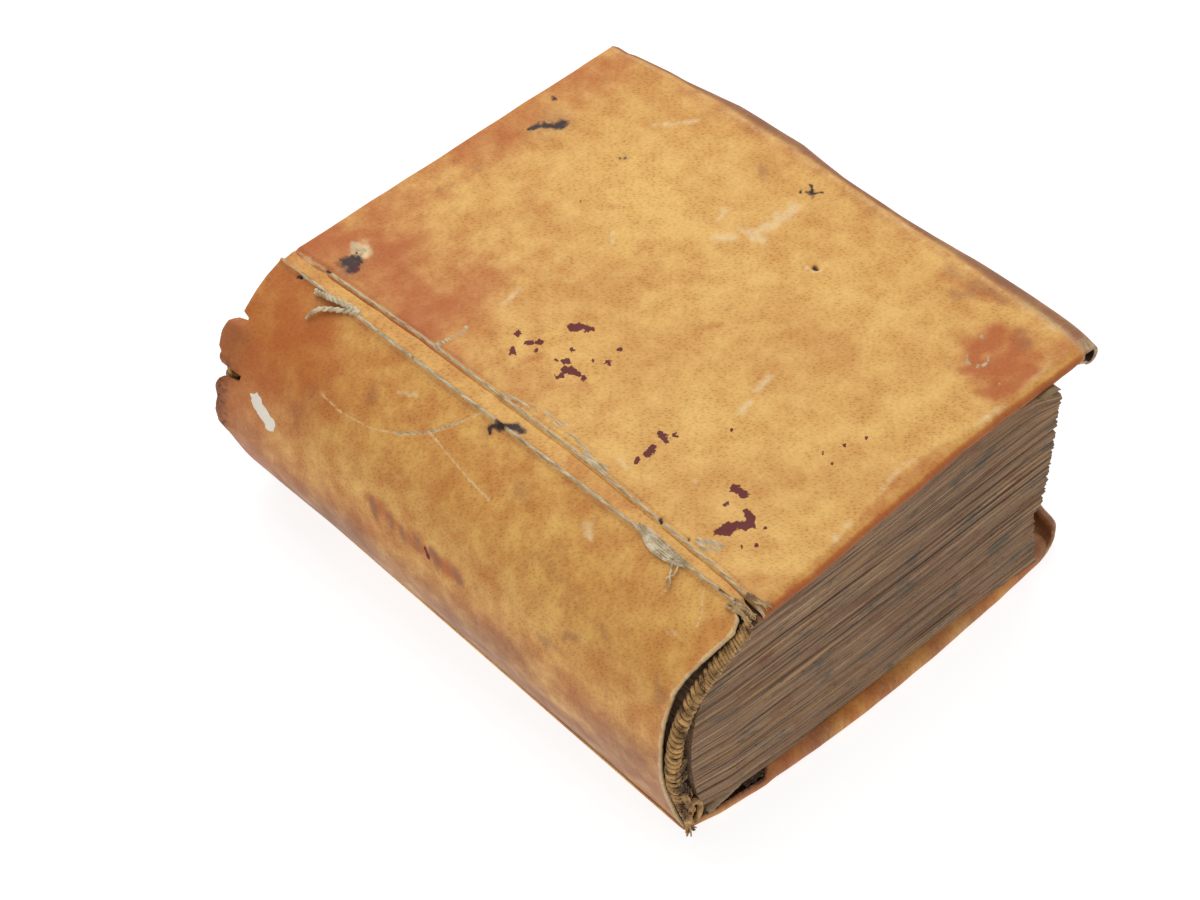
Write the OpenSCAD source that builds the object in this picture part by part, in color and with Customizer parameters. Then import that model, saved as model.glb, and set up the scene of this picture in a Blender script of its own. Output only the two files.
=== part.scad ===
// Antique laced-case book: limp-edged leather case over thin boards, one sewn text block,
// wound endbands. The book lies on its back cover, spine towards -X, tail towards -Y.

/* [Book] */
// Height of the covers along the spine
cover_h = 151; // [126:1:185]
// Thickness of the closed book
book_t = 60; // [50:1:72]
// Width of the front cover from the joint crease to its fore-edge
cover_w = 105.4; // [88:0.2:127]
// Bow of the front cover's tail edge
front_bow = 1.4; // [0:0.1:3]
// Bow of the back cover's tail edge
back_bow = 5.9; // [0:0.1:8]
// How far the cover corners are worn back
corner_worn = 5; // [2:0.5:8]

/* [Skin] */
// Thickness of the covering skin
skin_t = 0.9; // [0.6:0.05:1.3]
// Pared thickness of the turned-in skin
turnin_t = 0.7; // [0.4:0.05:1]
// Width of the turned-in skin
turnin_w = 12; // [8:0.5:18]
// How far the fore-edge flap stands out
flap_out = 3.5; // [2:0.1:6]
// How far the fore-edge flap hangs down
flap_drop = 4.6; // [3:0.1:7]
// Height of the two cracked joint ridges
ridge_h = 0.7; // [0.3:0.05:1.2]

/* [Boards] */
// Thickness of the pasteboards
board_t = 1.3; // [0.9:0.05:2]
// Thickness of the pastedown leaves
paper_t = 0.25; // [0.15:0.05:0.5]

/* [Spine] */
// Width of the strip between the two joint ridges
joint_w = 6; // [4:0.2:8]
// How far the spine bulges past the first ridge
spine_bulge = 23.2; // [19:0.2:28]
// Height of the widest point of the spine
bulge_z = 26; // [22:0.5:31]
// How far the lower edge of the skin lies in from the bulge at the tail
tuck_tail = 6; // [3:0.2:8]
// How far the lower edge of the skin lies in from the bulge at the head
tuck_head = 12.2; // [9:0.2:14]
// Depth of the torn notch in the head edge of the spine
notch_deep = 6.3; // [3:0.1:9]

/* [Text block] */
// How far the covers reach past the leaves at the fore-edge
fore_square = 11.5; // [6:0.5:16]
// How far the covers reach past the leaves at the head
head_square = 3; // [1:0.5:5]
// How much the fore-edge leans in at the bottom
fore_lean = 5.5; // [0:0.5:9]
// Running gap between the leaves and the covers
leaf_gap = 0.3; // [0.25:0.05:0.6]

/* [Sewing] */
// Thickness of the spine lining
lining_t = 0.5; // [0.3:0.05:1]
// How far the spine lining stops short of head and tail
lining_in = 7; // [5:0.5:12]
// Width of each sewing support
support_w = 5; // [3:0.5:8]
// Outer radius of a wound endband
band_r = 2; // [1.5:0.05:2.4]
// Radius of an endband core
core_r = 1.2; // [0.8:0.05:1.4]

/* [Hidden] */

skin_colour = "#c98f3f";
board_colour = "#a98a63";
paper_colour = "#7d7266";
thread_colour = "#a07c4a";

// Places in the working frame: x = 0 at the first ridge's inner foot, y = 0 at the tail, z = 0 below
ridge_x = -1;
joint_x = ridge_x + joint_w;
joint_gap = 0.6;
front_x = joint_x + joint_gap;
fore_x = front_x + cover_w;
back_fore_x = fore_x - 1;
front_lead = 2.6;
back_tail_y = 1;
band_gap = 0.2;
band_off = skin_t + band_gap + band_r;
block_off = band_off + band_r + leaf_gap;
cover_t = skin_t + board_t + turnin_t;
block_top = book_t - cover_t - leaf_gap;
block_bottom = cover_t + leaf_gap;
block_tail_y = -0.8;
block_head_y = cover_h - head_square;
skin_head_y = cover_h - 1.5;
skin_tail_y = 3;
crease_z = skin_t / 2;
crease_clear = 0.5;
crease_gap = 1.2 * skin_t + crease_clear;
thread_gap = 0.05;
edge_gap = 0.15;

// The part stands on the middle of its own footprint
x_low = ridge_x - spine_bulge;
x_high = fore_x + flap_out;
y_low = back_tail_y - back_bow;
y_high = cover_h;
module in_place() translate([-(x_low + x_high) / 2, -(y_low + y_high) / 2, 0]) children();

function lerp(a, b, t) = a + (b - a) * t;
function curve(p, t) = pow(1 - t, 3) * p[0] + 3 * pow(1 - t, 2) * t * p[1]
    + 3 * (1 - t) * t * t * p[2] + pow(t, 3) * p[3];

// Spine section, u from 0 at the first ridge over 1 at the widest point to 2 at the lower crease;
// s runs from 0 at the tail to 1 at the head
shoulder_in = 11;
shoulder_drop = 6;
upper_pull = 0.7;
lower_pull = 7.5;
tuck_z = 9;
function upper_bend() = [[ridge_x, book_t], [ridge_x - shoulder_in, book_t - shoulder_drop],
    [x_low, lerp(bulge_z, book_t, upper_pull)], [x_low, bulge_z]];
function lower_bend(s) = let (tuck = lerp(tuck_tail, tuck_head, s))
    [[x_low, bulge_z], [x_low, bulge_z - lower_pull], [x_low + 0.45 * tuck, tuck_z], [x_low + tuck, crease_z]];
function spine_at(u, s) = u < 1 ? curve(upper_bend(), u) : curve(lower_bend(s), u - 1);
step_u = 0.01;
function spine_off(u, s, off) =
    let (d = spine_at(min(u + step_u, 2), s) - spine_at(max(u - step_u, 0), s))
    spine_at(u, s) + off * [-d.y, d.x] / norm(d);
function spine_line(s, off, first = 0, last = 20) = [for (i = [first : last]) spine_off(i / 10, s, off)];
function turned(list) = [for (i = [len(list) - 1 : -1 : 0]) list[i]];

// A section drawn in x and z, drawn out along y
module along_y(y0, y1) translate([0, y1, 0]) rotate([90, 0, 0]) linear_extrude(y1 - y0) children();

// A closed wall between two grids of points with the same rows and columns
module wall(outside, inside) {
    rows = len(outside);
    cols = len(outside[0]);
    all = rows * cols;
    function at(r, c) = r * cols + c;
    function rim(list) = [for (i = [0 : len(list) - 2])
        each [[list[i], list[i + 1], list[i + 1] + all], [list[i], list[i + 1] + all, list[i] + all]]];
    skins = [for (r = [0 : rows - 2]) for (c = [0 : cols - 2]) each [
        [at(r, c), at(r + 1, c), at(r + 1, c + 1)], [at(r, c), at(r + 1, c + 1), at(r, c + 1)],
        [all + at(r, c), all + at(r + 1, c + 1), all + at(r + 1, c)],
        [all + at(r, c), all + at(r, c + 1), all + at(r + 1, c + 1)]]];
    round_edge = concat([for (c = [0 : cols - 1]) at(0, c)], [for (r = [1 : rows - 1]) at(r, cols - 1)],
        [for (c = [cols - 2 : -1 : 0]) at(rows - 1, c)], [for (r = [rows - 2 : -1 : 0]) at(r, 0)]);
    polyhedron(concat([for (row = outside) each row], [for (row = inside) each row]),
        concat(skins, rim(round_edge)));
}

// A round rod, or a tube with a hole, bent along the spine at height y
module spine_rod(s, y, r, hole) {
    rings = 26;
    sides = 10;
    u0 = 0.06;
    u1 = 1.84;
    function ring(u, size) = let (p = spine_off(u, s, band_off),
        d = spine_at(min(u + step_u, 2), s) - spine_at(max(u - step_u, 0), s),
        n = [-d.y, d.x] / norm(d))
        [for (k = [0 : sides - 1]) let (a = 360 * k / sides)
            [p.x + size * cos(a) * n.x, y + size * sin(a), p.y + size * cos(a) * n.y]];
    function at(r, k) = r * sides + k % sides;
    points = [for (i = [0 : rings]) each ring(lerp(u0, u1, i / rings), r)];
    holes = hole > 0 ? [for (i = [0 : rings]) each ring(lerp(u0, u1, i / rings), hole)] : [];
    all = len(points);
    sheath = [for (i = [0 : rings - 1]) for (k = [0 : sides - 1]) each [
        [at(i, k), at(i, k + 1), at(i + 1, k + 1)], [at(i, k), at(i + 1, k + 1), at(i + 1, k)]]];
    bore = [for (f = sheath) [all + f[0], all + f[2], all + f[1]]];
    caps = [[for (k = [sides - 1 : -1 : 0]) at(0, k)], [for (k = [0 : sides - 1]) at(rings, k)]];
    ends = [for (k = [0 : sides - 1]) each [
        [at(0, k), all + at(0, k), all + at(0, k + 1)], [at(0, k), all + at(0, k + 1), at(0, k + 1)],
        [at(rings, k), all + at(rings, k + 1), all + at(rings, k)],
        [at(rings, k), at(rings, k + 1), all + at(rings, k + 1)]]];
    polyhedron(concat(points, holes), hole > 0 ? concat(sheath, bore, ends) : concat(sheath, caps));
}

// Outline of a cover in x and y, drawn in by inset at its three outer edges
edge_n = 16;
corner_sharp = 12;
function tail_edge(x_tail, x_fore, y_tail, rise, bow, inset) = [for (i = [0 : edge_n])
    let (t = i / edge_n) [lerp(x_tail, x_fore - corner_worn - inset, t),
        y_tail + rise * t - 4 * bow * t * (1 - t) + inset]];
function fore_edge(x_fore, y0, y1, inset) = [for (i = [1 : edge_n - 1])
    let (t = i / edge_n) [x_fore - corner_worn * pow(abs(2 * t - 1), corner_sharp) - inset,
        lerp(y0 + inset, y1 - inset, t)]];
function cover_outline(x_tail, x_head, x_fore, y_tail, rise, bow, inset) = concat(
    tail_edge(x_tail, x_fore, y_tail, rise, bow, inset),
    fore_edge(x_fore, y_tail + rise, cover_h, inset),
    [[x_fore - corner_worn - inset, cover_h - inset], [x_head, cover_h - inset]]);

function front_outline(inset, lead = 0) =
    cover_outline(front_x - lead, front_x - lead, fore_x, -front_lead, front_lead, front_bow, inset);
crease_tail_x = x_low + tuck_tail + crease_gap;
crease_head_x = x_low + tuck_head + crease_gap;
back_rise = 1;
function back_outline(inset, lead = 0) = cover_outline(crease_tail_x - lead, crease_head_x - lead,
    back_fore_x, back_tail_y, back_rise, back_bow, inset);

module slab(outline, z0, z1) translate([0, 0, z0]) linear_extrude(z1 - z0) polygon(outline);

// The leaves, all as one solid, rounded at the back and leaning at the fore-edge
module text_block() color(paper_colour) in_place() {
    fore_top = fore_x - fore_square;
    along_y(block_tail_y, block_head_y) intersection() {
        polygon(concat(spine_line(1, block_off), [[x_low + 2 * tuck_head, 0], [fore_top - fore_lean, 0],
            [fore_top - fore_lean, block_bottom], [fore_top, block_top], [joint_x, block_top]]));
        translate([x_low, block_bottom]) square([fore_top - x_low, block_top - block_bottom]);
    }
}

module spine_lining() color(board_colour) in_place()
    along_y(block_tail_y + lining_in, block_head_y - lining_in)
        polygon(concat(spine_line(1, block_off - lining_t, 1, 18), turned(spine_line(1, block_off, 1, 18))));

// Leather thong across the back of the leaves, its slips ending under the two joints
module sewing_support(y) color(thread_colour) in_place()
    along_y(y - support_w / 2, y + support_w / 2)
        polygon(concat(spine_line(1, skin_t + leaf_gap, 1, 18),
            turned(spine_line(1, block_off - lining_t, 1, 18))));

head_band_y = block_head_y - 0.4;
tail_band_y = 0.8;
thread_r = core_r + thread_gap;
module head_endband_core() color(board_colour) in_place() spine_rod(1, head_band_y, core_r, 0);
module head_endband_thread() color(thread_colour) in_place() spine_rod(1, head_band_y, band_r, thread_r);
module tail_endband_core() color(board_colour) in_place() spine_rod(0, tail_band_y, core_r, 0);
module tail_endband_thread() color(thread_colour) in_place() spine_rod(0, tail_band_y, band_r, thread_r);

// Covering skin from the joint, over the two cracked ridges and round the spine to the lower crease
strip_drop = 0.8;
ridge_half = 0.9;
stations = 8;
torn_z = bulge_z + 12.4;
torn_half = 1.6;
// The tail edge stands further out over the shoulder than at the joint and the lower crease
lip_out = 3.5;
lip_at = 0.35;
lip_half = 0.16;
function strip_top() = [[joint_x, book_t - strip_drop / 2], [joint_x - ridge_half, book_t + ridge_h / 2],
    [joint_x - 2 * ridge_half, book_t - strip_drop], [ridge_x + 2 * ridge_half, book_t - strip_drop],
    [ridge_x + ridge_half, book_t + ridge_h]];
function strip_foot() = [for (p = strip_top()) [p.x, book_t - strip_drop - skin_t]];
function tail_cut(i, n) = skin_tail_y - lip_out * exp(-pow((i / n - lip_at) / lip_half, 2));
function head_cut(z) = abs(z - torn_z) < torn_half ? skin_head_y - notch_deep : skin_head_y;
function skin_grid(inner) = [for (j = [0 : stations]) let (s = j / stations,
    line = concat(inner ? strip_foot() : strip_top(), spine_line(s, inner ? skin_t : 0)),
    top = concat(strip_top(), spine_line(s, 0)), n = len(line) - 1)
    [for (i = [0 : n]) [line[i].x, lerp(tail_cut(i, n), head_cut(top[i].y), s), line[i].y]]];
module spine_leather() color(skin_colour) in_place() wall(skin_grid(false), skin_grid(true));

// Skin of the front cover: folded round the board and turned down along the fore-edge
flap_tail_y = 12;
flap_head_in = 26;
module front_cover_leather() color(skin_colour) in_place() {
    z_in = book_t - cover_t;
    difference() {
        slab(front_outline(0), z_in, book_t);
        slab(front_outline(skin_t, 1), z_in + turnin_t, book_t - skin_t);
        slab(front_outline(turnin_w, 1), z_in - 1, z_in + turnin_t + 0.1);
    }
    flap_root = fore_x - 0.95 * skin_t;
    along_y(flap_tail_y, cover_h - flap_head_in)
        polygon([[flap_root, book_t], [fore_x, book_t], [fore_x + flap_out, book_t - flap_drop + skin_t],
            [fore_x + flap_out - skin_t, book_t - flap_drop], [flap_root, book_t - 1.5 * skin_t]]);
}
module front_board() color(board_colour) in_place()
    slab(front_outline(skin_t + edge_gap), book_t - skin_t - board_t, book_t - skin_t);
module front_pastedown() color(paper_colour) in_place()
    slab(front_outline(turnin_w + edge_gap), book_t - skin_t - board_t - paper_t, book_t - skin_t - board_t);

// Skin of the back cover, from the lower crease to the fore-edge
module back_cover_leather() color(skin_colour) in_place() difference() {
    slab(back_outline(0), 0, cover_t);
    slab(back_outline(skin_t, 1), skin_t, skin_t + board_t);
    slab(back_outline(turnin_w, 1), skin_t + board_t - 0.1, cover_t + 1);
}
module back_board() color(board_colour) in_place()
    slab(back_outline(skin_t + edge_gap), skin_t, skin_t + board_t);
module back_pastedown() color(paper_colour) in_place()
    slab(back_outline(turnin_w + edge_gap), skin_t + board_t, skin_t + board_t + paper_t);

support_tail_y = 28;
support_head_y = cover_h - 21;
module sewing_support_tail() sewing_support(support_tail_y);
module sewing_support_middle() sewing_support((support_tail_y + support_head_y) / 2);
module sewing_support_head() sewing_support(support_head_y);

text_block();
spine_lining();
sewing_support_tail();
sewing_support_middle();
sewing_support_head();
head_endband_core();
head_endband_thread();
tail_endband_core();
tail_endband_thread();
spine_leather();
front_cover_leather();
front_board();
front_pastedown();
back_cover_leather();
back_board();
back_pastedown();
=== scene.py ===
import math
import random
import bpy
import bmesh
from mathutils import Matrix, Vector, noise


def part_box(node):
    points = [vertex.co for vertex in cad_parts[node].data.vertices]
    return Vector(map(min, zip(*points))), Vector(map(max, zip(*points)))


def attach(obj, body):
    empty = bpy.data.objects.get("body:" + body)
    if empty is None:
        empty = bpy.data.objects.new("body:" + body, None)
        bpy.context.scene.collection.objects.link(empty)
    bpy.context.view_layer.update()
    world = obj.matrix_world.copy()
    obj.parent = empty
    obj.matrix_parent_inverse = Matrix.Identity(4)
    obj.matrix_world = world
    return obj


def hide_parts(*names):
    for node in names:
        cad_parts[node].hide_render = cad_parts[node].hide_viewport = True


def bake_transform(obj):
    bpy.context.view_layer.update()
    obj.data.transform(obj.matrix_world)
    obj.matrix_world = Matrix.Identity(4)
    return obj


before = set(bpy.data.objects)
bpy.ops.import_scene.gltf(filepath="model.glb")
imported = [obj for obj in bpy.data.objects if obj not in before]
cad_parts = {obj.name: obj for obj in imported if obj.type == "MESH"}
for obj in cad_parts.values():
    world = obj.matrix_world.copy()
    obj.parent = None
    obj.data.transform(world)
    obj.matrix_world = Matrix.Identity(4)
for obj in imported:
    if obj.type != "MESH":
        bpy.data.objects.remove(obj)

scene = bpy.context.scene
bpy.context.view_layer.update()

# Everything is shaped in millimetres from the tail end of the first ridge, then moved into the frame
mm = 0.001
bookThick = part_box("front_cover_leather")[1].z / mm
toFrame = Matrix.Scale(mm, 4) @ Matrix.Translation((
    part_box("front_cover_leather")[0].x / mm - 5.6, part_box("text_block")[0].y / mm + 0.8, 0))


def framePoint(x, y, z):
    return toFrame @ Vector((x, y, z))


def clamp(value, low=0.0, high=1.0):
    return max(low, min(high, value))


def mix(a, b, share):
    return a + (b - a) * share


def ease(start, end, value):
    t = clamp((value - start) / (end - start))
    return t * t * (3 - 2 * t)


def hump(value, middle, width):
    return math.exp(-((value - middle) / width) ** 2)


def through(knots, value):  # a line through (place, height) knots
    if value <= knots[0][0]:
        return knots[0][1]
    for (p0, h0), (p1, h1) in zip(knots, knots[1:]):
        if value <= p1:
            return mix(h0, h1, (value - p0) / (p1 - p0))
    return knots[-1][1]


def bezier(p, t):
    return tuple((1 - t) ** 3 * a + 3 * (1 - t) ** 2 * t * b + 3 * (1 - t) * t * t * c + t ** 3 * d
                 for a, b, c, d in zip(*p))


def rough(x, y, size, seed=0.0):  # smooth noise from -1 to 1, size in mm
    return noise.noise(Vector((x / size, y / size, seed)))


def steps(*runs):  # places along an edge: (start, end, spacing) runs joined together
    places = []
    for start, end, gap in runs:
        count = max(1, round(abs(end - start) / gap))
        places += [mix(start, end, k / count) for k in range(count)]
    return places + [runs[-1][1]]


# camera and light
camera = {"lens": 119.87, "azimuth": -44.14, "height": 46.49, "distance": 922.5, "target": (29.25, 76.54, 30)}
print("camera and light")
cameraData = bpy.data.cameras.new("camera")
cameraData.lens = camera["lens"]
cameraData.clip_start = 0.05
cameraObject = bpy.data.objects.new("camera", cameraData)
turn, rise = math.radians(camera["azimuth"]), math.radians(camera["height"])
back = Vector((math.sin(turn) * math.cos(rise), -math.cos(turn) * math.cos(rise), math.sin(rise)))
cameraObject.location = framePoint(*camera["target"]) + back * camera["distance"] * mm
cameraObject.rotation_euler = (-back).to_track_quat("-Z", "Y").to_euler()
scene.collection.objects.link(cameraObject)
scene.camera = cameraObject
scene.view_settings.view_transform = "Standard"

world = bpy.data.worlds.new("studio")
scene.world = world
world.use_nodes = True
world.node_tree.nodes["Background"].inputs[0].default_value = (1, 1, 1, 1)
world.node_tree.nodes["Background"].inputs[1].default_value = 0.5

lamps = {"softTop": {"place": (260, 420, 700), "size": 0.9, "power": 4.2},
         "softFront": {"place": (-520, -260, 520), "size": 0.6, "power": 0.5}}
for lampName, lamp in lamps.items():
    lampData = bpy.data.lights.new(lampName, "AREA")
    lampData.shape, lampData.size, lampData.energy = "DISK", lamp["size"], lamp["power"]
    lampObject = bpy.data.objects.new(lampName, lampData)
    lampObject.location = framePoint(*lamp["place"])
    aim = lampObject.location - framePoint(40, 75, 20)
    lampObject.rotation_euler = aim.to_track_quat("Z", "Y").to_euler()
    scene.collection.objects.link(lampObject)


# material helpers
def hexColour(code):
    parts = [int(code[k:k + 2], 16) / 255 for k in (1, 3, 5)]
    return (*[c / 12.92 if c <= 0.04045 else ((c + 0.055) / 1.055) ** 2.4 for c in parts], 1)


def newMaterial(name, **surface):
    material = bpy.data.materials.new(name)
    material.use_nodes = True
    shader = material.node_tree.nodes["Principled BSDF"]
    for socket, value in surface.items():
        shader.inputs[socket.replace("_", " ")].default_value = value
    return material, material.node_tree, shader


def addNode(tree, kind, inputs, **settings):
    node = tree.nodes.new("ShaderNode" + kind)
    for key, value in settings.items():
        setattr(node, key, value)
    for socket, value in inputs.items():
        if isinstance(value, bpy.types.NodeSocket):
            tree.links.new(value, node.inputs[socket])
        else:
            node.inputs[socket].default_value = value
    return node


def tintOver(tree, share, under, over, mode="MIX"):  # lays one colour over another by share
    return addNode(tree, "Mix", {0: share, 6: under, 7: over}, data_type="RGBA", blend_type=mode).outputs[2]


# skin material
# Vegetable-tanned goatskin, dyed by age and handling: golden ochre with sienna clouds, short dark pores in
# slanting rows, pale scraped places, and a low worn gloss
skinColours = {"gold": "#e6b562", "ochre": "#d0954a", "sienna": "#b9652c", "mauve": "#8e6045",
               "fibre": "#dcc9a4", "scuff": "#e9cd9c", "wine": "#641711", "grime": "#372320",
               "pore": "#8f5c30", "raw": "#f6f1e6", "rawStrand": "#ddd0b8", "inner": "#543a28",
               "innerDark": "#2c1d14", "torn": "#8f7453"}
pores = {"rowGap": 0.85, "along": 1.7, "slant": 44.2}
skinNoises = {"cloud": (30, 3, 0.55), "patch": (7, 4, 0.6), "grain": (0.9, 5, 0.65),
              "crumb": (2.2, 5, 0.7), "drip": (1.2, 5, 0.6)}  # size in mm, detail, roughness
tints = ("wine", "scuff", "russet", "mauve", "fibre", "grime", "raw")


def tannedSkin(name, underside=False):
    material, tree, shader = newMaterial(name, Roughness=0.5, IOR=1.46, Specular_IOR_Level=0.3)
    place = addNode(tree, "UVMap", {}, uv_map="skinMap").outputs[0]
    cloud, patch, grain, crumb, drip = [
        addNode(tree, "TexNoise", {0: place, "Scale": 1 / size, "Detail": detail,
                                   "Roughness": jagged}).outputs[0]
        for size, detail, jagged in skinNoises.values()]
    level = addNode(tree, "Math", {0: cloud, 1: patch}, operation="ADD").outputs[0]
    ramp = addNode(tree, "ValToRGB", {0: addNode(tree, "MapRange", {0: level, 1: 0.78, 2: 1.22}).outputs[0]})
    band = ramp.color_ramp.elements
    band[0].position, band[0].color = 0.0, hexColour(skinColours["gold"])
    band[1].position, band[1].color = 1.0, hexColour(skinColours["ochre"])
    colour = ramp.outputs[0]

    def mark(tint, low, high, scatter, source):  # a painted amount, broken up by noise
        painted = addNode(tree, "Attribute", {}, attribute_name=tint).outputs["Fac"]
        broken = addNode(tree, "Math", {0: source, 1: scatter, 2: painted}, operation="MULTIPLY_ADD")
        return addNode(tree, "MapRange", {0: broken.outputs[0], 1: low + scatter / 2, 2: high + scatter / 2},
                       interpolation_type="SMOOTHSTEP").outputs[0]

    colour = tintOver(tree, mark("russet", 0.1, 1.0, 0.7, patch), colour, hexColour(skinColours["sienna"]))
    colour = tintOver(tree, mark("mauve", 0.1, 1.15, 0.6, patch), colour, hexColour(skinColours["mauve"]))
    # pores: cells stretched along the rows, one short dash in each
    turned = addNode(tree, "Mapping", {0: place, 2: (0, 0, math.radians(pores["slant"]))}).outputs[0]
    rows = addNode(tree, "Mapping", {0: turned, 3: (1 / pores["along"], 1 / pores["rowGap"], 1)}).outputs[0]
    cells = addNode(tree, "TexVoronoi", {0: rows, "Scale": 1.0, "Randomness": 0.8}, voronoi_dimensions="2D")
    dash = addNode(tree, "MapRange", {0: cells.outputs["Distance"], 1: 0.27, 2: 0.1}).outputs[0]
    shown = addNode(tree, "MapRange", {0: patch, 1: 0.34, 2: 0.66, 3: 0.16, 4: 0.55}).outputs[0]
    dash = addNode(tree, "Math", {0: dash, 1: shown}, operation="MULTIPLY").outputs[0]
    colour = tintOver(tree, dash, colour, hexColour(skinColours["pore"]))
    fleck = addNode(tree, "MapRange", {0: grain, 1: 0.3, 2: 0.7, 3: 0.9, 4: 1.09}).outputs[0]
    colour = tintOver(tree, 1.0, colour, fleck, "MULTIPLY")
    strand = addNode(tree, "TexNoise", {0: addNode(tree, "Mapping", {0: place, 3: (2.6, 0.28, 1)}).outputs[0],
                                        "Scale": 1.0, "Detail": 5, "Roughness": 0.7}).outputs[0]
    colour = tintOver(tree, mark("scuff", 0.15, 1.25, 1.3, crumb), colour, hexColour(skinColours["scuff"]))
    fibreShare = mark("fibre", 0.2, 0.75, 0.7, crumb)
    fibreColour = tintOver(tree, addNode(tree, "MapRange", {0: strand, 1: 0.35, 2: 0.62}).outputs[0],
                           hexColour(skinColours["torn"]), hexColour(skinColours["fibre"]))
    colour = tintOver(tree, fibreShare, colour, fibreColour)
    colour = tintOver(tree, mark("wine", 0.43, 0.53, 1.5, drip), colour, hexColour(skinColours["wine"]))
    # dark stains and specks, and also painted shade in the dented holes, the tear, the dropped strip end and
    # the open end of the back roll
    colour = tintOver(tree, mark("grime", 0.3, 0.8, 0.9, drip), colour, hexColour(skinColours["grime"]))
    rawColour = tintOver(tree, strand, hexColour(skinColours["rawStrand"]), hexColour(skinColours["raw"]))
    colour = tintOver(tree, mark("raw", 0.42, 0.52, 0.12, crumb), colour, rawColour)
    if underside:  # the flesh side, turned in over the boards: browner and stained by paste, and near-black in patches as painted shade for the insides of the rolls, curls and turn-ins
        flesh = tintOver(tree, patch, hexColour(skinColours["inner"]), hexColour(skinColours["innerDark"]))
        colour = tintOver(tree, 0.9, colour, flesh)
    tree.links.new(colour, shader.inputs["Base Color"])
    gloss = addNode(tree, "MapRange", {0: patch, 1: 0.3, 2: 0.7, 3: 0.42, 4: 0.6}).outputs[0]
    gloss = addNode(tree, "Math", {0: fibreShare, 1: 0.35, 2: gloss}, operation="MULTIPLY_ADD").outputs[0]
    tree.links.new(gloss, shader.inputs["Roughness"])
    # relief: pores, fine grain, and the strands of the split ridges
    relief = addNode(tree, "Math", {0: dash, 1: -0.5, 2: grain}, operation="MULTIPLY_ADD").outputs[0]
    relief = addNode(tree, "Math", {0: crumb, 1: 0.6, 2: relief}, operation="MULTIPLY_ADD").outputs[0]
    torn = addNode(tree, "Math", {0: strand, 1: fibreShare}, operation="MULTIPLY").outputs[0]
    relief = addNode(tree, "Math", {0: torn, 1: 2.2, 2: relief}, operation="MULTIPLY_ADD").outputs[0]
    bump = addNode(tree, "Bump", {"Strength": 0.32, "Distance": 0.12 * mm, "Height": relief})
    tree.links.new(bump.outputs[0], shader.inputs["Normal"])
    return material


skinMaterial = tannedSkin("vegetable-tanned skin, worn")
fleshSideShadeMaterial = tannedSkin("vegetable-tanned skin, flesh side", underside=True)


# making pieces
def makePiece(name, bm, materials, thickness=0.0, outset=-1.0, smooth=True):
    bmesh.ops.transform(bm, matrix=toFrame, verts=bm.verts)
    mesh = bpy.data.meshes.new(name)
    bm.to_mesh(mesh)
    bm.free()
    for material in materials:
        mesh.materials.append(material)
    piece = bpy.data.objects.new(name, mesh)
    scene.collection.objects.link(piece)
    if thickness:
        wall = piece.modifiers.new("wall", "SOLIDIFY")
        wall.thickness, wall.offset, wall.material_offset = thickness * mm, outset, len(materials) - 1
        shaped = bpy.data.meshes.new_from_object(piece.evaluated_get(bpy.context.evaluated_depsgraph_get()))
        piece.modifiers.clear()
        piece.data = shaped
        bpy.data.meshes.remove(mesh)
        shaped.name = name
    piece.data.shade_smooth() if smooth else piece.data.shade_flat()
    return piece


def flatSheet(across, along, fine=()):  # a flat sheet in mm, cut finer round small marks
    bm = bmesh.new()
    bmesh.ops.create_grid(bm, x_segments=len(across) - 1, y_segments=len(along) - 1, size=0.5)
    for v in bm.verts:
        column, row = round((v.co.x + 0.5) * (len(across) - 1)), round((v.co.y + 0.5) * (len(along) - 1))
        v.co = (across[column], along[row], 0)
    for x, y, radius in fine:
        near = {v for v in bm.verts if (v.co.x - x) ** 2 + (v.co.y - y) ** 2 < radius ** 2}
        edges = [e for e in bm.edges if e.verts[0] in near and e.verts[1] in near]
        bmesh.ops.subdivide_edges(bm, edges=edges, cuts=2, use_grid_fill=True)
    return bm


def lineAway(x, y, line):  # distance from a point to a drawn line
    best = 1e9
    for (x0, y0), (x1, y1) in zip(line, line[1:] or line):
        dx, dy = x1 - x0, y1 - y0
        t = clamp(((x - x0) * dx + (y - y0) * dy) / (dx * dx + dy * dy)) if dx or dy else 0
        best = min(best, math.hypot(x - x0 - t * dx, y - y0 - t * dy))
    return best


def readMarks(x, y, marks):  # how much of each tint lies here, and how far the surface is lifted
    found, lift = {}, 0.0
    for tint, strength, width, height, line, (x0, x1, y0, y1) in marks:
        if x0 <= x <= x1 and y0 <= y <= y1:
            ragged, broad, fine = 0.7 * width, 1.25 * width + 0.5, 0.45 * width + 0.3
            shiftX = ragged * rough(x, y, broad, 51) + 0.25 * ragged * rough(x, y, fine, 53)
            shiftY = ragged * rough(x, y, broad, 52) + 0.25 * ragged * rough(x, y, fine, 54)
            amount = math.exp(-(lineAway(x + shiftX, y + shiftY, line) / width) ** 2)
            found[tint] = max(found.get(tint, 0), strength * amount)
            lift += height * amount
    return found, lift


def marksOf(*groups):  # a group: tint, strength, height, then rows of a width and the x and y of each point
    marks = []
    for tint, strength, height, *rows in groups:
        for width, *places in rows:
            xs, ys, reach = places[::2], places[1::2], 2.4 * width
            marks.append((tint, strength, width, height, list(zip(xs, ys)),
                          (min(xs) - reach, max(xs) + reach, min(ys) - reach, max(ys) + reach)))
    return marks


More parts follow.
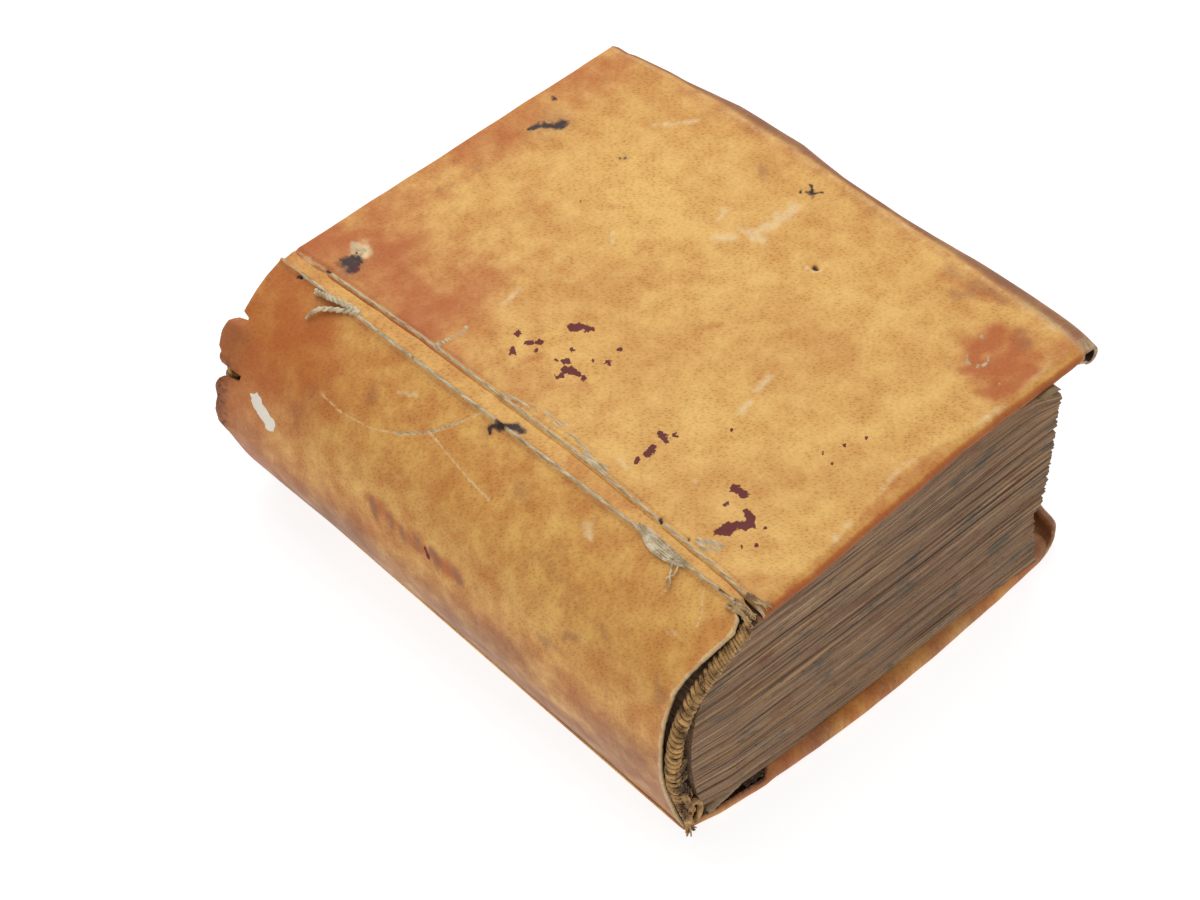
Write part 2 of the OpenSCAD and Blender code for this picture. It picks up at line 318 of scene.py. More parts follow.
def bendSheet(bm, place, marks):  # place(a, b) gives a point, its outward direction, its map place and tints
    layers = {tint: bm.verts.layers.float.new(tint) for tint in tints}
    maps = {}
    for v in bm.verts:
        point, out, (p, y), painted = place(v.co.x, v.co.y)
        found, lift = readMarks(p, y, marks)
        v.co = Vector(point) + Vector(out) * lift
        maps[v] = (p, y)
        for tint in tints:
            v[layers[tint]] = max(found.get(tint, 0), painted.get(tint, 0))
    skinMap = bm.loops.layers.uv.new("skinMap")
    for face in bm.faces:
        for loop in face.loops:
            loop[skinMap].uv = maps[loop.vert]
    return maps


# spine skin
spineShape = {"ridgeX": -1.0, "shoulderIn": 11.0, "shoulderDrop": 6.0, "lowX": -24.2, "bulgeZ": 26.0,
              "upperPull": 0.7, "lowerPull": 7.5, "tuckTail": 6.0, "tuckHead": 12.2, "tuckZ": 9.0,
              "creaseZ": 0.45, "skin": 0.9, "ridgeHigh": 0.85, "ridgeHalf": 0.44, "stripDrop": 0.8}


def spineAt(u, s):  # section of the spine, u 0 at the first ridge, 1 at the widest, 2 at the lower crease
    k = spineShape
    tuck = mix(k["tuckTail"], k["tuckHead"], s)
    if u < 1:
        shoulder = (k["ridgeX"] - k["shoulderIn"], bookThick - k["shoulderDrop"])
        return bezier(((k["ridgeX"], bookThick), shoulder,
                       (k["lowX"], mix(k["bulgeZ"], bookThick, k["upperPull"])), (k["lowX"], k["bulgeZ"])), u)
    return bezier(((k["lowX"], k["bulgeZ"]), (k["lowX"], k["bulgeZ"] - k["lowerPull"]),
                   (k["lowX"] + 0.45 * tuck, k["tuckZ"]), (k["lowX"] + tuck, k["creaseZ"])), u - 1)


def spineOut(u, s):
    a, b = spineAt(max(u - 0.01, 0), s), spineAt(min(u + 0.01, 2), s)
    dx, dz = b[0] - a[0], b[1] - a[1]
    size = math.hypot(dx, dz)
    return dz / size, -dx / size


# distance run down the spine, to find u from it
runOf, lastPoint = [0.0], spineAt(0, 0.5)
for k in range(1, 201):
    nextPoint = spineAt(k / 100, 0.5)
    runOf.append(runOf[-1] + math.dist(lastPoint, nextPoint))
    lastPoint = nextPoint
uTable = [(run, k / 100) for k, run in enumerate(runOf)]
spineRun = runOf[-1]


ridgeLine = [(-3, 1.3), (0, 1.8), (6, 2.5), (13, 3.2), (32, 4.2), (58, 5.3), (110, 5.3), (140, 4.1),
             (151, 3.6)]


def secondRidge(y):  # the second cracked ridge wanders towards the first near the tail
    return through(ridgeLine, y) + 0.16 * rough(0, y, 6, 3.0)


tailEdgeLine = [(-71, 1), (-51, 2.5), (-30, 3), (-23, 3), (-17.5, 2), (-11.3, 0.5), (-5.6, -0.5), (-2.6, 0.8),
                (-1, 3.4), (0, 4.2), (0.7, 4.4), (1.6, 1.6), (2.4, 0.9), (3.4, 1.4), (4.4, 3.2), (5.6, 5)]
headEdgeLine = [(-71, 140.6), (-66, 141), (-54, 145), (-46.5, 146.9), (-44.6, 148.4), (-41, 149.2),
                (-37, 148.5), (-34, 149.4), (-32, 149.0), (-30.6, 147.6), (-30.0, 143.1), (-28.3, 143.2),
                (-27.6, 148.6),
                (-26.2, 149.6), (-24.6, 149.4), (-24.2, 150.6), (-21, 151.6), (-18.4, 151.4), (-16.6, 150.2),
                (-15.6, 146.9), (-15.1, 150.2), (-9, 151.0), (-5, 151.3), (-1, 151.2), (1, 151.2), (5, 151.6)]


def spinePlace(a, b):
    k = spineShape
    tailEnd = through(tailEdgeLine, a) + 0.18 * rough(a, 0, 1.3)
    headEnd = through(headEdgeLine, a) + 0.3 * rough(a, 9, 1.1) * ease(-22, -40, a)
    if b < 9:
        y = mix(tailEnd, 9, b / 9)
    elif b > 138:
        y = mix(138, headEnd, (b - 138) / 12)
    else:
        y = b
    s = clamp(y / 150)
    painted = {}
    ridge = hump(a, 0.12 * rough(0, y, 5, 71), k["ridgeHalf"])
    ridge *= mix(0.6, 1.2, 0.5 + 0.5 * rough(0, y, 3.4, 1.0))
    ridge *= mix(1, 0.45, ease(141, 148, y))
    if a < 0:
        u = through(uTable, -a)
        (x, z), (outX, outZ) = spineAt(u, s), spineOut(u, s)
        lift = k["ridgeHigh"] * ridge
        lift += 0.28 * rough(a, y, 34, 5) + 0.1 * rough(a, y, 9, 6)  # old, slightly slack skin
        lift -= 0.25 * ease(-30, -45, a) * (0.5 + 0.5 * rough(a * 3.2, y, 20, 8))  # long creases low down
        flare = ease(143, 150, y)
        lift += 1.9 * flare * ease(-15.6, -18.6, a) * ease(-30, -26.5, a)  # first torn tab
        lift += 1.5 * flare * ease(-29.6, -33, a) * ease(-51, -45, a)  # second tab
        lift += 0.5 * hump(y, tailEnd, 1.3)  # the tail rim turns out a little
        lift *= ease(0, 4, z)  # stays on the table
        point = (x + outX * lift, y, z + outZ * lift)
        out = (outX, 0, outZ)
        low = ease(-30, -52, a)
        tabs = ease(139, 148, y) * ease(-14.5, -19, a)
        painted["mauve"] = max(0.95 * low * (0.7 + 0.5 * rough(a, y, 24, 2)), 0.55 * tabs)
        painted["russet"] = max(0.95 * tabs, 0.38 + 0.22 * rough(a, y, 26, 73) + 0.4 * ease(95, 140, y),
                                0.62 * ease(-22, -44, a) * (0.8 + 0.4 * rough(a, y, 16, 76)),
                                0.45 * ease(16, 3, y))
        painted["grime"] = 0.5 * tabs * max(ease(145, 150, y) * (0.5 + 0.5 * rough(a, y, 3, 74)),
                                            ease(-22, -27, a) * ease(142, 147, y))
    else:
        far = secondRidge(y) - 0.25
        x = mix(k["ridgeX"], far, a / 5.6)
        strip = ease(0.35, 1.3, x - k["ridgeX"])
        z = bookThick - k["stripDrop"] * strip + k["ridgeHigh"] * ridge + 0.1 * rough(x, y, 4, 7)
        tongue = ease(6.5, 0.6, y) * ease(0.2, 1.2, a) * ease(5.8, 4.6, a)
        z -= 2.6 * tongue * tongue
        painted["russet"] = 0.24 + 0.3 * rough(x, y, 12, 4)
        # painted shade: the strip darkened towards its tail end, round the tongue that drops away there
        painted["grime"] = 0.85 * ease(3.4, 1.6, y) * strip
        point, out = (x, y, z), (0, 0, 1)
    rim = max(ease(1.0, 0.3, y - tailEnd + 0.6 * rough(a, y, 1.8, 77)),
              ease(0.8, 0.2, headEnd - y) * ease(-30, -20, a))
    thin = 0.42 + 0.2 * rough(0, y, 2.6, 81)
    split = 0.95 * hump(a, 0.14 * rough(0, y, 3, 72), thin)
    painted["fibre"] = max(split * mix(1, 0.6, ease(141, 147, y)), 0.4 * rim)
    painted["scuff"] = 0.85 * ease(1.2, 0.1, y - tailEnd + 0.7 * rough(a, y, 2.3, 80))
    # painted shade: a mauve line either side of the first ridge, standing in for its shadow edges
    painted["mauve"] = max(painted.get("mauve", 0), 0.45 * hump(abs(a), 1.15, 0.5))
    return point, out, (a, y), painted


spineMarks = marksOf(
    # white torn place near the head, its long sides along the fibres
    ("raw", 1, -0.12, (0.95, -30.2, 137.4, -34, 130.4), (0.95, -31.2, 138.2, -35.2, 131)),
    ("raw", 1, -0.1, (0.85, -32.4, 137.8, -36, 131.8)),
    # pale curved crack and its branch
    ("scuff", 0.75, -0.1, (0.42, -0.6, 83, -5, 85.6, -10.9, 90.1, -13.8, 94.3, -15.5, 96.5)),
    ("fibre", 0.9, -0.12, (0.36, -5, 85.6, -10.9, 90.1, -13.8, 94.3, -15.6, 97)),
    ("scuff", 0.75, -0.06, (0.34, -15.6, 97, -18.4, 103.9, -19.7, 113.1, -19, 120)),
    ("scuff", 0.75, -0.05, (0.36, -10.9, 90.1, -12.1, 84.2, -14, 74.4, -14.8, 67.2)),
    ("scuff", 0.75, -0.03, (0.3, -2.3, 11.5, -6.5, 8.4, -9, 7.4)),
    ("scuff", 0.75, 0, (0.8, -8, 103.2, -6.2, 99), (1.3, -6, 44, -8, 41)),
    # stains
    ("grime", 0.9, 0, (1.5, -0.6, 77.5, 1.6, 75.4, 2.6, 73), (0.9, -2.6, 77.6, -1.4, 78.6)),
    ("mauve", 0.5, 0, (2.8, -3.4, 78.5), (4, -9.5, 63), (3.2, -12.5, 108)),
    ("russet", 0.6, 0, (10, -5, 140, -14, 141, -24, 141)),
    ("mauve", 0.4, 0, (4.5, -20, 121, -27, 124)),
    ("russet", 0.4, 0, (9, -22, 60, -28, 40)),
    ("mauve", 0.3, 0, (5, -16, 50, -20, 34)),
    # rubbed, unreadable ink smudges
    ("mauve", 0.8, 0, (1.5, -33.4, 96.5, -37.2, 94.6)),
    ("mauve", 0.7, 0, (1.7, -33.6, 91.4, -36.8, 89.6)),
    ("mauve", 0.8, 0, (1.3, -34.6, 86.6, -37.6, 85.4)),
    ("mauve", 0.75, 0, (1.9, -34, 81.8, -36, 81)),
    ("wine", 1, 0, (0.62, -35.2, 78.4, -37, 77.4)),
    ("mauve", 0.85, 0, (1.9, -34.6, 75.8, -36.6, 74.4)),
    ("mauve", 0.8, 0, (1.8, -35, 68.6, -36.6, 66.8)),
    ("russet", 0.8, 0, (3, -33, 98, -36, 84, -35.4, 68)),
    ("mauve", 0.6, 0, (1.5, -29.4, 34.6, -27.4, 31.2), (1.6, -34.8, 40.6, -34.2, 37),
     (1.2, -21.6, 26.8, -23.4, 24.8), (1.3, -34.4, 61.6)),
    # holes on the first ridge, dented and painted dark: painted shade in each hole
    ("grime", 0.9, -0.5, (0.62, -0.9, 144.6, -0.5, 143.4)),
    ("grime", 0.9, -0.6, (0.5, 0.1, 106)),
    ("grime", 0.9, -0.3, (0.55, 0.2, 8.4, 0.5, 5.8)),
    # tail end: small pale scrapes on the shoulder
    ("scuff", 0.75, 0, (0.7, -14, 12.5, -13, 10.5)),
    ("mauve", 0.5, 0, (2, -24, 8, -27, 6)))

print("spine skin")
across = steps((-spineRun - 0.6, -3.0, 0.85), (-3.0, 2.0, 0.26), (2.0, 5.6, 0.45))
along = steps((0, 3, 0.5), (3, 138, 0.85), (138, 150, 0.55))
fineSpots = [(-33.5, 134.5, 5.2), (-36, 78, 3)]
cracks = [line for tint, _, _, height, line, _ in spineMarks if tint == "scuff" and height < 0]
for crack in cracks:
    for start, end in zip(crack, crack[1:]):
        fineSpots += [(mix(start[0], end[0], k / 3), mix(start[1], end[1], k / 3), 1.9) for k in range(3)]
bm = flatSheet(across, along, fine=fineSpots)
bendSheet(bm, spinePlace, spineMarks)
spineSkin = makePiece("spineSkin", bm, [skinMaterial, fleshSideShadeMaterial], spineShape["skin"])
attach(spineSkin, "book")
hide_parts("spine_leather")

# front skin
frontShape = {"skin": 0.9, "creaseMid": 110.8, "wornTail": 4.0, "headEdge": 151.9}
tailFold = [(4, 0), (2.2, 0.22), (1, 0.6), (0.25, 1.2), (0, 1.8), (0.35, 2.45), (1.3, 2.88), (3, 2.9)]
headFold = [(2, 0), (1.2, 0.08), (0.5, 0.35), (0.12, 0.8), (0, 1.35), (0.2, 2.1), (0.9, 2.75), (3, 2.9)]
flapStanding = [(0, 0), (1.9, -0.1), (3.7, 0.45), (5, 1.6), (5.3, 3.2), (4.6, 4.6), (3.1, 5.2), (1.6, 4.8),
                (0.6, 3.8), (-1.2, 2.95)]
flapFlat = [(0, 0), (0.5, 0.12), (0.85, 0.5), (1, 1), (1, 1.6), (0.85, 2.2), (0.5, 2.6), (0.1, 2.8),
            (-0.4, 2.88), (-1.2, 2.9)]
headCrease = [(74, 110.8), (95, 110.7), (108, 110.2), (122, 109.4), (135, 108.3), (145, 106.9), (151, 104.6)]
frontTailLine = [(3, -2.5), (15, -2.4), (24, -1.9), (32, -1.2), (40, -0.7), (52, -0.1), (61, 0.4), (68, 0.9),
                 (84, 1.1), (98, 1.1), (111, 1.2)]
wornLine = [(8, 2.2), (14, 3.1), (27, 3.2), (37, 4.0), (45, 5.2), (52, 5.8), (62, 5.2), (75, 2.4), (87, 1.7),
            (97, 3.4), (110, 4.2)]
flapStands = [(-3, 1), (5, 1), (22, 1), (40, 0.8), (52, 0.5), (62, 0.35), (80, 0.35), (95, 0.8), (115, 0.8),
              (130, 0.2), (151, 0.12)]


def frontCrease(y):
    t = 2 * (y + 2.6) / 153.6 - 1
    wave = 0.25 * rough(0, y, 14, 11)
    if t < 0:
        return frontShape["creaseMid"] - frontShape["wornTail"] * abs(t) ** 12 + wave
    return through(headCrease, y) + wave


def frontTail(x):
    return through(frontTailLine, x) + 0.2 * rough(x, 0, 5, 12)


def foldLine(x):  # how far in from the tail edge the skin is worn pale over the board's edge
    return through(wornLine, x) + 0.5 * rough(x, 0, 6, 18)


def foldAt(fold, run):  # a place on a drawn fold, run from 0 to its last knot
    k = min(int(run), len(fold) - 2)
    return tuple(mix(a, b, run - k) for a, b in zip(fold[k], fold[k + 1]))


def frontPoint(a, b):
    k = frontShape
    y0 = clamp(b, 0, 150)
    crease = frontCrease(y0)
    standing = through(flapStands, y0)
    painted = {}
    drop = 0.0
    if a <= 106:  # top face; its left edge follows the second ridge, its right edge the crease
        left = secondRidge(y0) - 0.85
        x = mix(left, 12, (a - 4.4) / 7.6) if a < 12 else (a if a < 92 else mix(92, crease, (a - 92) / 14))
    elif a <= 106 + len(flapStanding) - 1:
        run = a - 106
        small, full = foldAt(flapFlat, run), foldAt(flapStanding, run)
        x, drop = crease + mix(small[0], full[0], standing), mix(small[1], full[1], standing)
    else:
        inward = a - 106 - (len(flapStanding) - 1)
        x, drop = crease - 1.2 - inward, mix(2.9, 2.95, standing)
    # along y
    edge = frontTail(x)
    if b < 4:
        if b > -3:
            d, fall = foldAt(tailFold, 4 - b)
        else:
            d, fall = 3.0 + (-3 - b), 2.9
        y = edge + d
        drop = max(drop, fall) if a > 106 else drop + fall
    elif b > 147:
        if b < 154:
            d, fall = foldAt(headFold, b - 147)
        else:
            d, fall = 3.0 + (b - 154), 2.9
        y = k["headEdge"] - d + 0.2 * rough(x, 5, 8, 13)
        drop = max(drop, fall) if a > 106 else drop + fall
    else:
        y = b + edge * (1 - ease(4, 24, b))
    # relief of the top face
    ridgeAt = secondRidge(y)
    warp = 0.42 * clamp(y / 150) * clamp(x / 110) + 0.14 * rough(x, y, 30, 14) + 0.06 * rough(x, y, 8, 15)
    warp *= ease(5, 14, x)
    top = 1 if drop < 1.4 else 0
    low = spineShape["stripDrop"] * (1 - ease(ridgeAt - 0.3, ridgeAt + 1.3, x))
    ridge = 0.85 * hump(x, ridgeAt, 0.42) * mix(0.55, 1.2, 0.5 + 0.5 * rough(0, y, 3.4, 16))
    ridge *= mix(1, 0.35, ease(138, 146, y))
    z = bookThick - drop + warp + (ridge - low) * (1 if drop < 2 else 0.0)
    if top:
        z += 0.16 * hump(y - edge, foldLine(x), 1.1) * ease(8, 16, x)  # board edge showing through
        z -= 0.9 * ease(5.5, 0, y) * hump(x, ridgeAt - 0.8, 0.5)
    # tints that follow the edges
    toTail, toHead, toFore = y - edge, k["headEdge"] - y, crease - x
    split = 0.95 * hump(x, ridgeAt, 0.44 + 0.2 * rough(0, y, 2.4, 82))
    painted["fibre"] = max(split * top * mix(1, 0.5, ease(138, 145, y)),
                           0.45 * hump(a, 106.2, 0.7) * ease(60, 10, y),
                           0.5 * ease(105.0, 107, a) * ease(9, 2, b))
    rubbed = 0.5 + 0.5 * rough(x, y, 18, 17)
    outside = ease(foldLine(x) + 0.6, foldLine(x) - 1.2, toTail)
    painted["russet"] = max(outside * (0.3 + 0.35 * rubbed), 0.95 * ease(2.4, 0.3, toTail),
                            0.9 * ease(16, 3, toTail) * ease(60, 95, x) * rubbed,
                            0.85 * ease(24, 3, toHead) * (0.5 + 0.5 * rubbed),
                            (0.84 + 0.5 * rough(x, y, 15, 79)) * ease(58, 10, x) * ease(72, 124, y),
                            0.34 * ease(40, 10, x) * ease(40, 80, y),
                            0.4 * ease(7, 1, toFore), 0.5 * ease(20, 4, x) * ease(20, 2, y))
    # the second term is painted shade: a mauve line either side of the second ridge, standing in for its
    # shadow edges
    painted["mauve"] = max(0.95 * ease(105.6, 107.0, a), 0.45 * hump(abs(x - ridgeAt), 1.1, 0.45) * top,
                           0.5 * ease(8, 2, toFore) * ease(20, 60, y) * rubbed,
                           0.5 * ease(1.2, 0.2, toTail) * (a < 106),
                            0.34 * ease(34, 8, x) * ease(88, 128, y) * rubbed)
    edgeRub = hump(toTail, foldLine(x), 1.15) * ease(8, 26, x) * top * (0.62 + 0.8 * rough(x, 3, 9, 78))
    painted["scuff"] = max(0.75 * hump(a, 105.6, 0.7) * (0.4 + 0.6 * rubbed) * ease(4, 12, y),
                           edgeRub * (0.7 + 0.6 * rough(x, y, 2.6, 19)),
                           0.5 * hump(toHead, 2.4, 0.7) * rubbed)
    if b < -1.6 or b > 151.6:
        painted["mauve"], painted["russet"] = 0.6, 0.6
    slopes = (0, 0, 1) if top else (0, 0, 0)
    return (x, y, z), slopes, (x if a <= 106 else a, y), painted


frontMarks = marksOf(
    # wine-red drops
    ("wine", 1, 0, (0.95, 21.6, 95.3), (0.8, 20.8, 91.6, 23.7, 89.3), (0.8, 20.6, 88.7),
     (0.75, 17.2, 92.6, 16.2, 91.4), (1.35, 31.4, 88.4, 33.6, 86), (0.8, 34.6, 84.6),
     (0.7, 22, 82.6, 23.4, 81), (1.25, 21.6, 79.4, 22.4, 76.8), (1, 22.2, 74.6),
     (0.7, 18.2, 79.4, 19.4, 78.4), (1, 29.6, 74.2), (0.75, 34.4, 75.4), (0.6, 18, 69.7),
     (0.7, 26.4, 82.8), (0.6, 27.8, 77.2), (1.15, 22.6, 50.4, 22, 47.8), (0.95, 18.7, 48.6, 15.8, 47.8),
     (0.7, 13.4, 48.4, 12.2, 47.4), (0.9, 24.6, 47.8), (1.1, 22.4, 27.6, 22.6, 24.6), (0.8, 17.8, 25.6),
     (1, 19.4, 20.6, 18.8, 18.6), (1.5, 13.4, 20.4, 17.2, 17.4), (1.15, 10.6, 20.8, 13, 19.2),
     (0.9, 18.8, 14.6), (0.7, 13.8, 12.4), (0.6, 11.4, 14.6), (0.75, 43.8, 21.6), (0.6, 43.2, 17.4),
     (0.55, 54.3, 17.9), (0.5, 49.2, 19.6)),
    ("russet", 0.55, 0, (2.6, 16, 88.6, 19.6, 86.4), (2.2, 17.8, 75, 20.6, 73)),
    # dark stains by the head edge
    ("grime", 0.9, 0, (1.9, 74.2, 141.6, 77.8, 139.2), (1, 70.6, 143.4, 74, 142.8)),
    ("mauve", 0.5, 0, (5, 72, 141.5, 79, 141)),
    ("grime", 0.9, 0, (0.9, 82.6, 146.8)),
    ("mauve", 0.5, 0, (1.6, 44.1, 142.4), (1.7, 52.8, 142.1), (1.4, 41.2, 142.8)),
    ("grime", 0.85, 0, (2.5, 8.6, 139.8, 10.8, 138.8)),
    ("grime", 0.8, 0, (1.9, 8.2, 137.2)),
    ("mauve", 1, 0, (4.2, 9.2, 138.2)),
    ("wine", 0.8, 0, (2.4, 9.4, 137.6)),
    ("wine", 1, 0, (1, 8.8, 136.2)),
    ("fibre", 0.7, -0.05, (1.5, 13.8, 142, 14.4, 139.8)),
    ("scuff", 1, 0, (2.6, 14.2, 141.4, 14.4, 139.4)),
    # a small hole, dented and painted dark: painted shade
    ("grime", 0.9, -0.5, (0.5, 13, 140.8)),
    # worm hole with its dark ring, star-shaped puncture, small tear, all dented and painted dark: painted
    # shade in each hollow, the dark paint running out into the ring round the worm hole
    ("grime", 0.9, -0.75, (0.85, 85.3, 63)),
    ("grime", 0.9, -0.5, (1, 103.2, 81.2)),
    ("grime", 0.9, -0.2, (0.5, 101.4, 83.2, 105, 79.4), (0.5, 101.8, 79.6, 104.8, 83)),
    ("grime", 0.9, -0.15, (0.6, 79.2, 121, 80.6, 119.4)),
    ("mauve", 0.5, 0, (2.2, 80, 120)),
    ("scuff", 0.75, 0.1, (0.7, 84, 64.4, 84.2, 62, 85.6, 61.4)),
    # pale rubbed places
    ("scuff", 0.75, -0.08, (2, 97, 80.6, 90, 80, 84, 81.1)),
    ("scuff", 0.75, -0.06, (1.6, 83, 78, 82, 84)),
    ("scuff", 0.75, 0, (1.8, 79, 83.6, 75.4, 86.2), (1.4, 84, 91, 81, 90),
     (0.9, 31.8, 105.4, 28.6, 105, 25.4, 104.4), (0.9, 93, 123.8, 98.6, 119.2, 102, 117.6),
     (1.2, 52.9, 46.1, 47.6, 44.8), (1.2, 44, 43.6, 40, 42.6), (0.8, 10.4, 50.6, 10, 48), (1, 18, 35),
     (0.6, 60, 104, 57, 101)),
    # reddened corner with whitish rings
    ("russet", 0.95, 0, (6.2, 88.4, 13.6, 94, 10.2, 101.6, 13), (5.4, 91, 18, 98, 19.6),
     (4.2, 84.8, 8.6, 88.4, 6.6, 96, 6), (3.4, 88.6, 15, 96, 12)),
    ("fibre", 0.9, 0, (0.42, 87.4, 17.4, 88.2, 19, 89.8, 19.4), (0.4, 88.2, 15.6, 90.6, 14.6, 92, 15.6),
     (0.5, 95.8, 21.4, 96.8, 20.2), (0.5, 88, 8.6), (0.45, 93.6, 10.2)),
    ("mauve", 0.5, 0, (2.6, 101, 12.6, 103.6, 15.4)),
    # brownish patches by the fore-edge
    ("mauve", 0.5, 0, (2.3, 107, 42, 107.8, 34, 108.4, 26), (1.9, 101.6, 35, 104.6, 32)),
    ("russet", 0.55, 0, (3.4, 105, 40, 107, 28)),
    ("mauve", 0.5, 0, (1.3, 98, 92, 101, 96)),
    # wrinkles that run off the second ridge
    ("fibre", 0.9, 0.42, (0.55, 5.6, 105.4, 8.6, 104.6, 12.4, 104)),
    ("fibre", 0.9, 0.2, (0.5, 12.4, 104, 14.6, 104.6)),
    ("fibre", 0.9, 0.25, (0.8, 5.6, 22, 7.4, 19.6, 8.6, 17)),
    ("fibre", 0.9, 0.2, (0.6, 6.6, 17, 4.8, 20.4)),
    ("fibre", 0.9, 0.12, (0.38, 6.6, 80, 8.8, 73, 8.2, 64, 7.2, 57)),
    ("fibre", 0.9, 0.1, (0.5, 6, 83.6, 7, 79.8), (0.5, 7.4, 69, 9.6, 67)),
    ("fibre", 0.9, 0.15, (1.1, 6.2, 57, 6, 51)),
    ("scuff", 0.75, 0, (1.2, 3, 145.6, 3.6, 148)),
    # holes on the second ridge, dented and painted dark: painted shade in each hole
    ("grime", 0.9, -0.5, (0.55, 4.1, 141.2, 4.3, 140.2), (0.55, 4.6, 32.6, 4.2, 31.4)),
    ("grime", 0.9, -0.4, (0.5, 4.7, 23.6)),
    ("grime", 0.9, -0.2, (0.36, 9.2, 74.6), (0.3, 8.4, 86)),
    # small specks
    ("grime", 0.9, 0, (0.34, 48, 101), (0.34, 62, 117), (0.32, 70, 33)),
    ("wine", 1, 0, (0.5, 34.4, 40.2)),
    ("russet", 0.55, 0, (1.2, 53, 67, 56.6, 65), (1.6, 66.4, 110.4)),
    ("mauve", 0.5, 0, (1.4, 62, 68)),
    ("russet", 0.25, 0, (7, 57, 87, 64, 92), (9, 40, 120, 60, 128)))

print("front skin")
across = steps((4.4, 8.0, 0.3), (8.0, 92, 0.86), (92, 106, 0.8), (106, 115, 0.34), (115, 124.8, 1.2))
along = steps((-12, -3, 1.2), (-3, 4, 0.33), (4, 147, 0.86), (147, 154, 0.4), (154, 163, 1.2))
bm = flatSheet(across, along, fine=[(85.3, 63.0, 2.4), (103.2, 81.2, 3.2), (13.8, 140.8, 2.8)])
mitred = []
for face in bm.faces:
    c = face.calc_center_median()
    toEnd = min(c.y, 151 - c.y)
    if ((c.x > 106.4 and toEnd < 1.2) or (c.x > 115 and toEnd < c.x - 114)
            or (toEnd < -3 and 109 - c.x < -toEnd)):
        mitred.append(face)
bmesh.ops.delete(bm, geom=mitred, context="FACES")
bendSheet(bm, frontPoint, frontMarks)
frontSkin = makePiece("frontSkin", bm, [skinMaterial, fleshSideShadeMaterial], frontShape["skin"])
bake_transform(frontSkin)
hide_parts("front_cover_leather")

# back skin
backShape = {"skin": 0.9, "crease": 105.0, "worn": 5.0}
backRoll = [(4.0, 0.0), (2.0, 0.05), (0.7, 0.5), (0.05, 1.6), (0.2, 3.1), (1.0, 4.4), (2.6, 5.1), (4.4, 4.8),
            (6.0, 3.8), (7.4, 2.95)]
backLip = [(4.0, 0.0), (2.0, 0.0), (0.8, 0.2), (0.15, 0.8), (0.0, 1.5), (0.0, 2.2), (0.25, 2.8), (0.8, 3.2),
           (1.5, 3.3), (2.2, 3.2)]
backCurl = [(0.0, 0.0), (2.2, 0.1), (3.9, 0.8), (4.9, 2.3), (5.0, 4.4), (4.3, 6.4), (2.8, 8.0), (1.4, 8.3),
            (0.6, 7.3), (1.2, 5.9), (1.0, 4.6), (-0.8, 3.5), (-3.0, 2.95)]
backPlain = [(0.0, 0.0), (2.5, 0.0), (4.0, 0.05), (4.7, 0.4), (5.0, 1.0), (5.0, 1.7), (4.7, 2.3), (4.2, 2.7),
             (3.5, 2.85), (2.8, 2.9), (1.8, 2.9), (0.0, 2.9), (-3.0, 2.9)]
backTailLine = [(-19, 0.1), (-15, -0.9), (-10, -1.9), (-4.3, -2.7), (4, -3.6), (13.3, -4.3), (24, -4.75),
                (35.6, -4.95), (47, -4.8), (59.6, -4.4), (81.6, -3.2), (96.7, -2.0), (101, -1.0), (105, 0.6),
                (109, 2.8)]


def backTail(x):
    return through(backTailLine, x) + 0.12 * rough(x, 0, 6, 21)


def backPoint(a, b):
    y0 = clamp(b, 0, 150)
    t = 2 * y0 / 150 - 1
    crease = backShape["crease"] - backShape["worn"] * abs(t) ** 12 + 0.3 * rough(0, y0, 16, 22)
    curl = through([(0, 1.0), (22, 0.9), (45, 0.35), (80, 0.2), (120, 0.3), (151, 0.6)], y0)
    creaseLeft = mix(-18.5, -12.3, clamp(y0 / 150))
    z = 0.0
    if a <= 101:
        x = mix(creaseLeft, crease, (a + 19) / 120)
    elif a <= 101 + len(backCurl) - 1:
        low, high = foldAt(backPlain, a - 101), foldAt(backCurl, a - 101)
        x, z = crease + mix(low[0], high[0], curl), mix(low[1], high[1], curl)
    else:
        x, z = crease - 3 - (a - 101 - (len(backCurl) - 1)), 2.92
    edge = backTail(x)
    rolled = ease(3.0, 6.5, x)
    if b < 4:
        if b > -5:
            low, high = foldAt(backLip, 4 - b), foldAt(backRoll, 4 - b)
            d, up = mix(low[0], high[0], rolled), mix(low[1], high[1], rolled)
        else:
            d, up = mix(2.2, 7.4, rolled) + (-5 - b), mix(3.0, 2.92, rolled)
        d += 0.2 * rough(x, b, 6, 23) * ease(3, 0, b)
        up += 0.3 * rough(x, b, 9, 24) * ease(2, -2, b)
        y, z = edge + d, max(z, up)
    elif b > 147:
        if b < 156:
            d, up = foldAt(backLip, b - 147)
        else:
            d, up = 2.2 + (b - 156), mix(3.2, 2.92, clamp(b - 156))
        y, z = 151 - d, max(z, up)
    else:
        y = b + edge * (1 - ease(4, 30, b))
    z = max(z, 0.02)
    byTail = ease(9, 1, y - edge)
    # painted shade: mauve over the fore-edge curl and the sheet just inside it, for the dark gap inside the
    # curl, and mauve with the dark tint at the open end of the tail roll, for its hollow
    painted = {
        "russet": 0.45 + 0.4 * rough(x, y, 14, 26) + 0.2 * byTail,
        "mauve": max(0.9 * ease(100.5, 103, a), 0.7 * ease(9, 2, x) * ease(1, -2, b), 0.35 * ease(-3, -6, b),
                     byTail * (0.42 + 0.4 * rough(x, y, 12, 25)), 0.85 * ease(93, 98, a)),
        "grime": 0.6 * ease(7.5, 4.5, x) * ease(0, -3, b),
        "scuff": 0.5 * hump(z, 3.2, 1.1) * ease(8, 12, x) * (0.4 + 0.6 * rough(x, y, 5, 27)),
        "fibre": 0.7 * hump(b, -1.0, 0.9) * ease(8, 20, x) * rough(x, 0, 3, 28)}
    return (x, y, z), (0, 0, 0), (x if a <= 101 else a + 4, y), painted


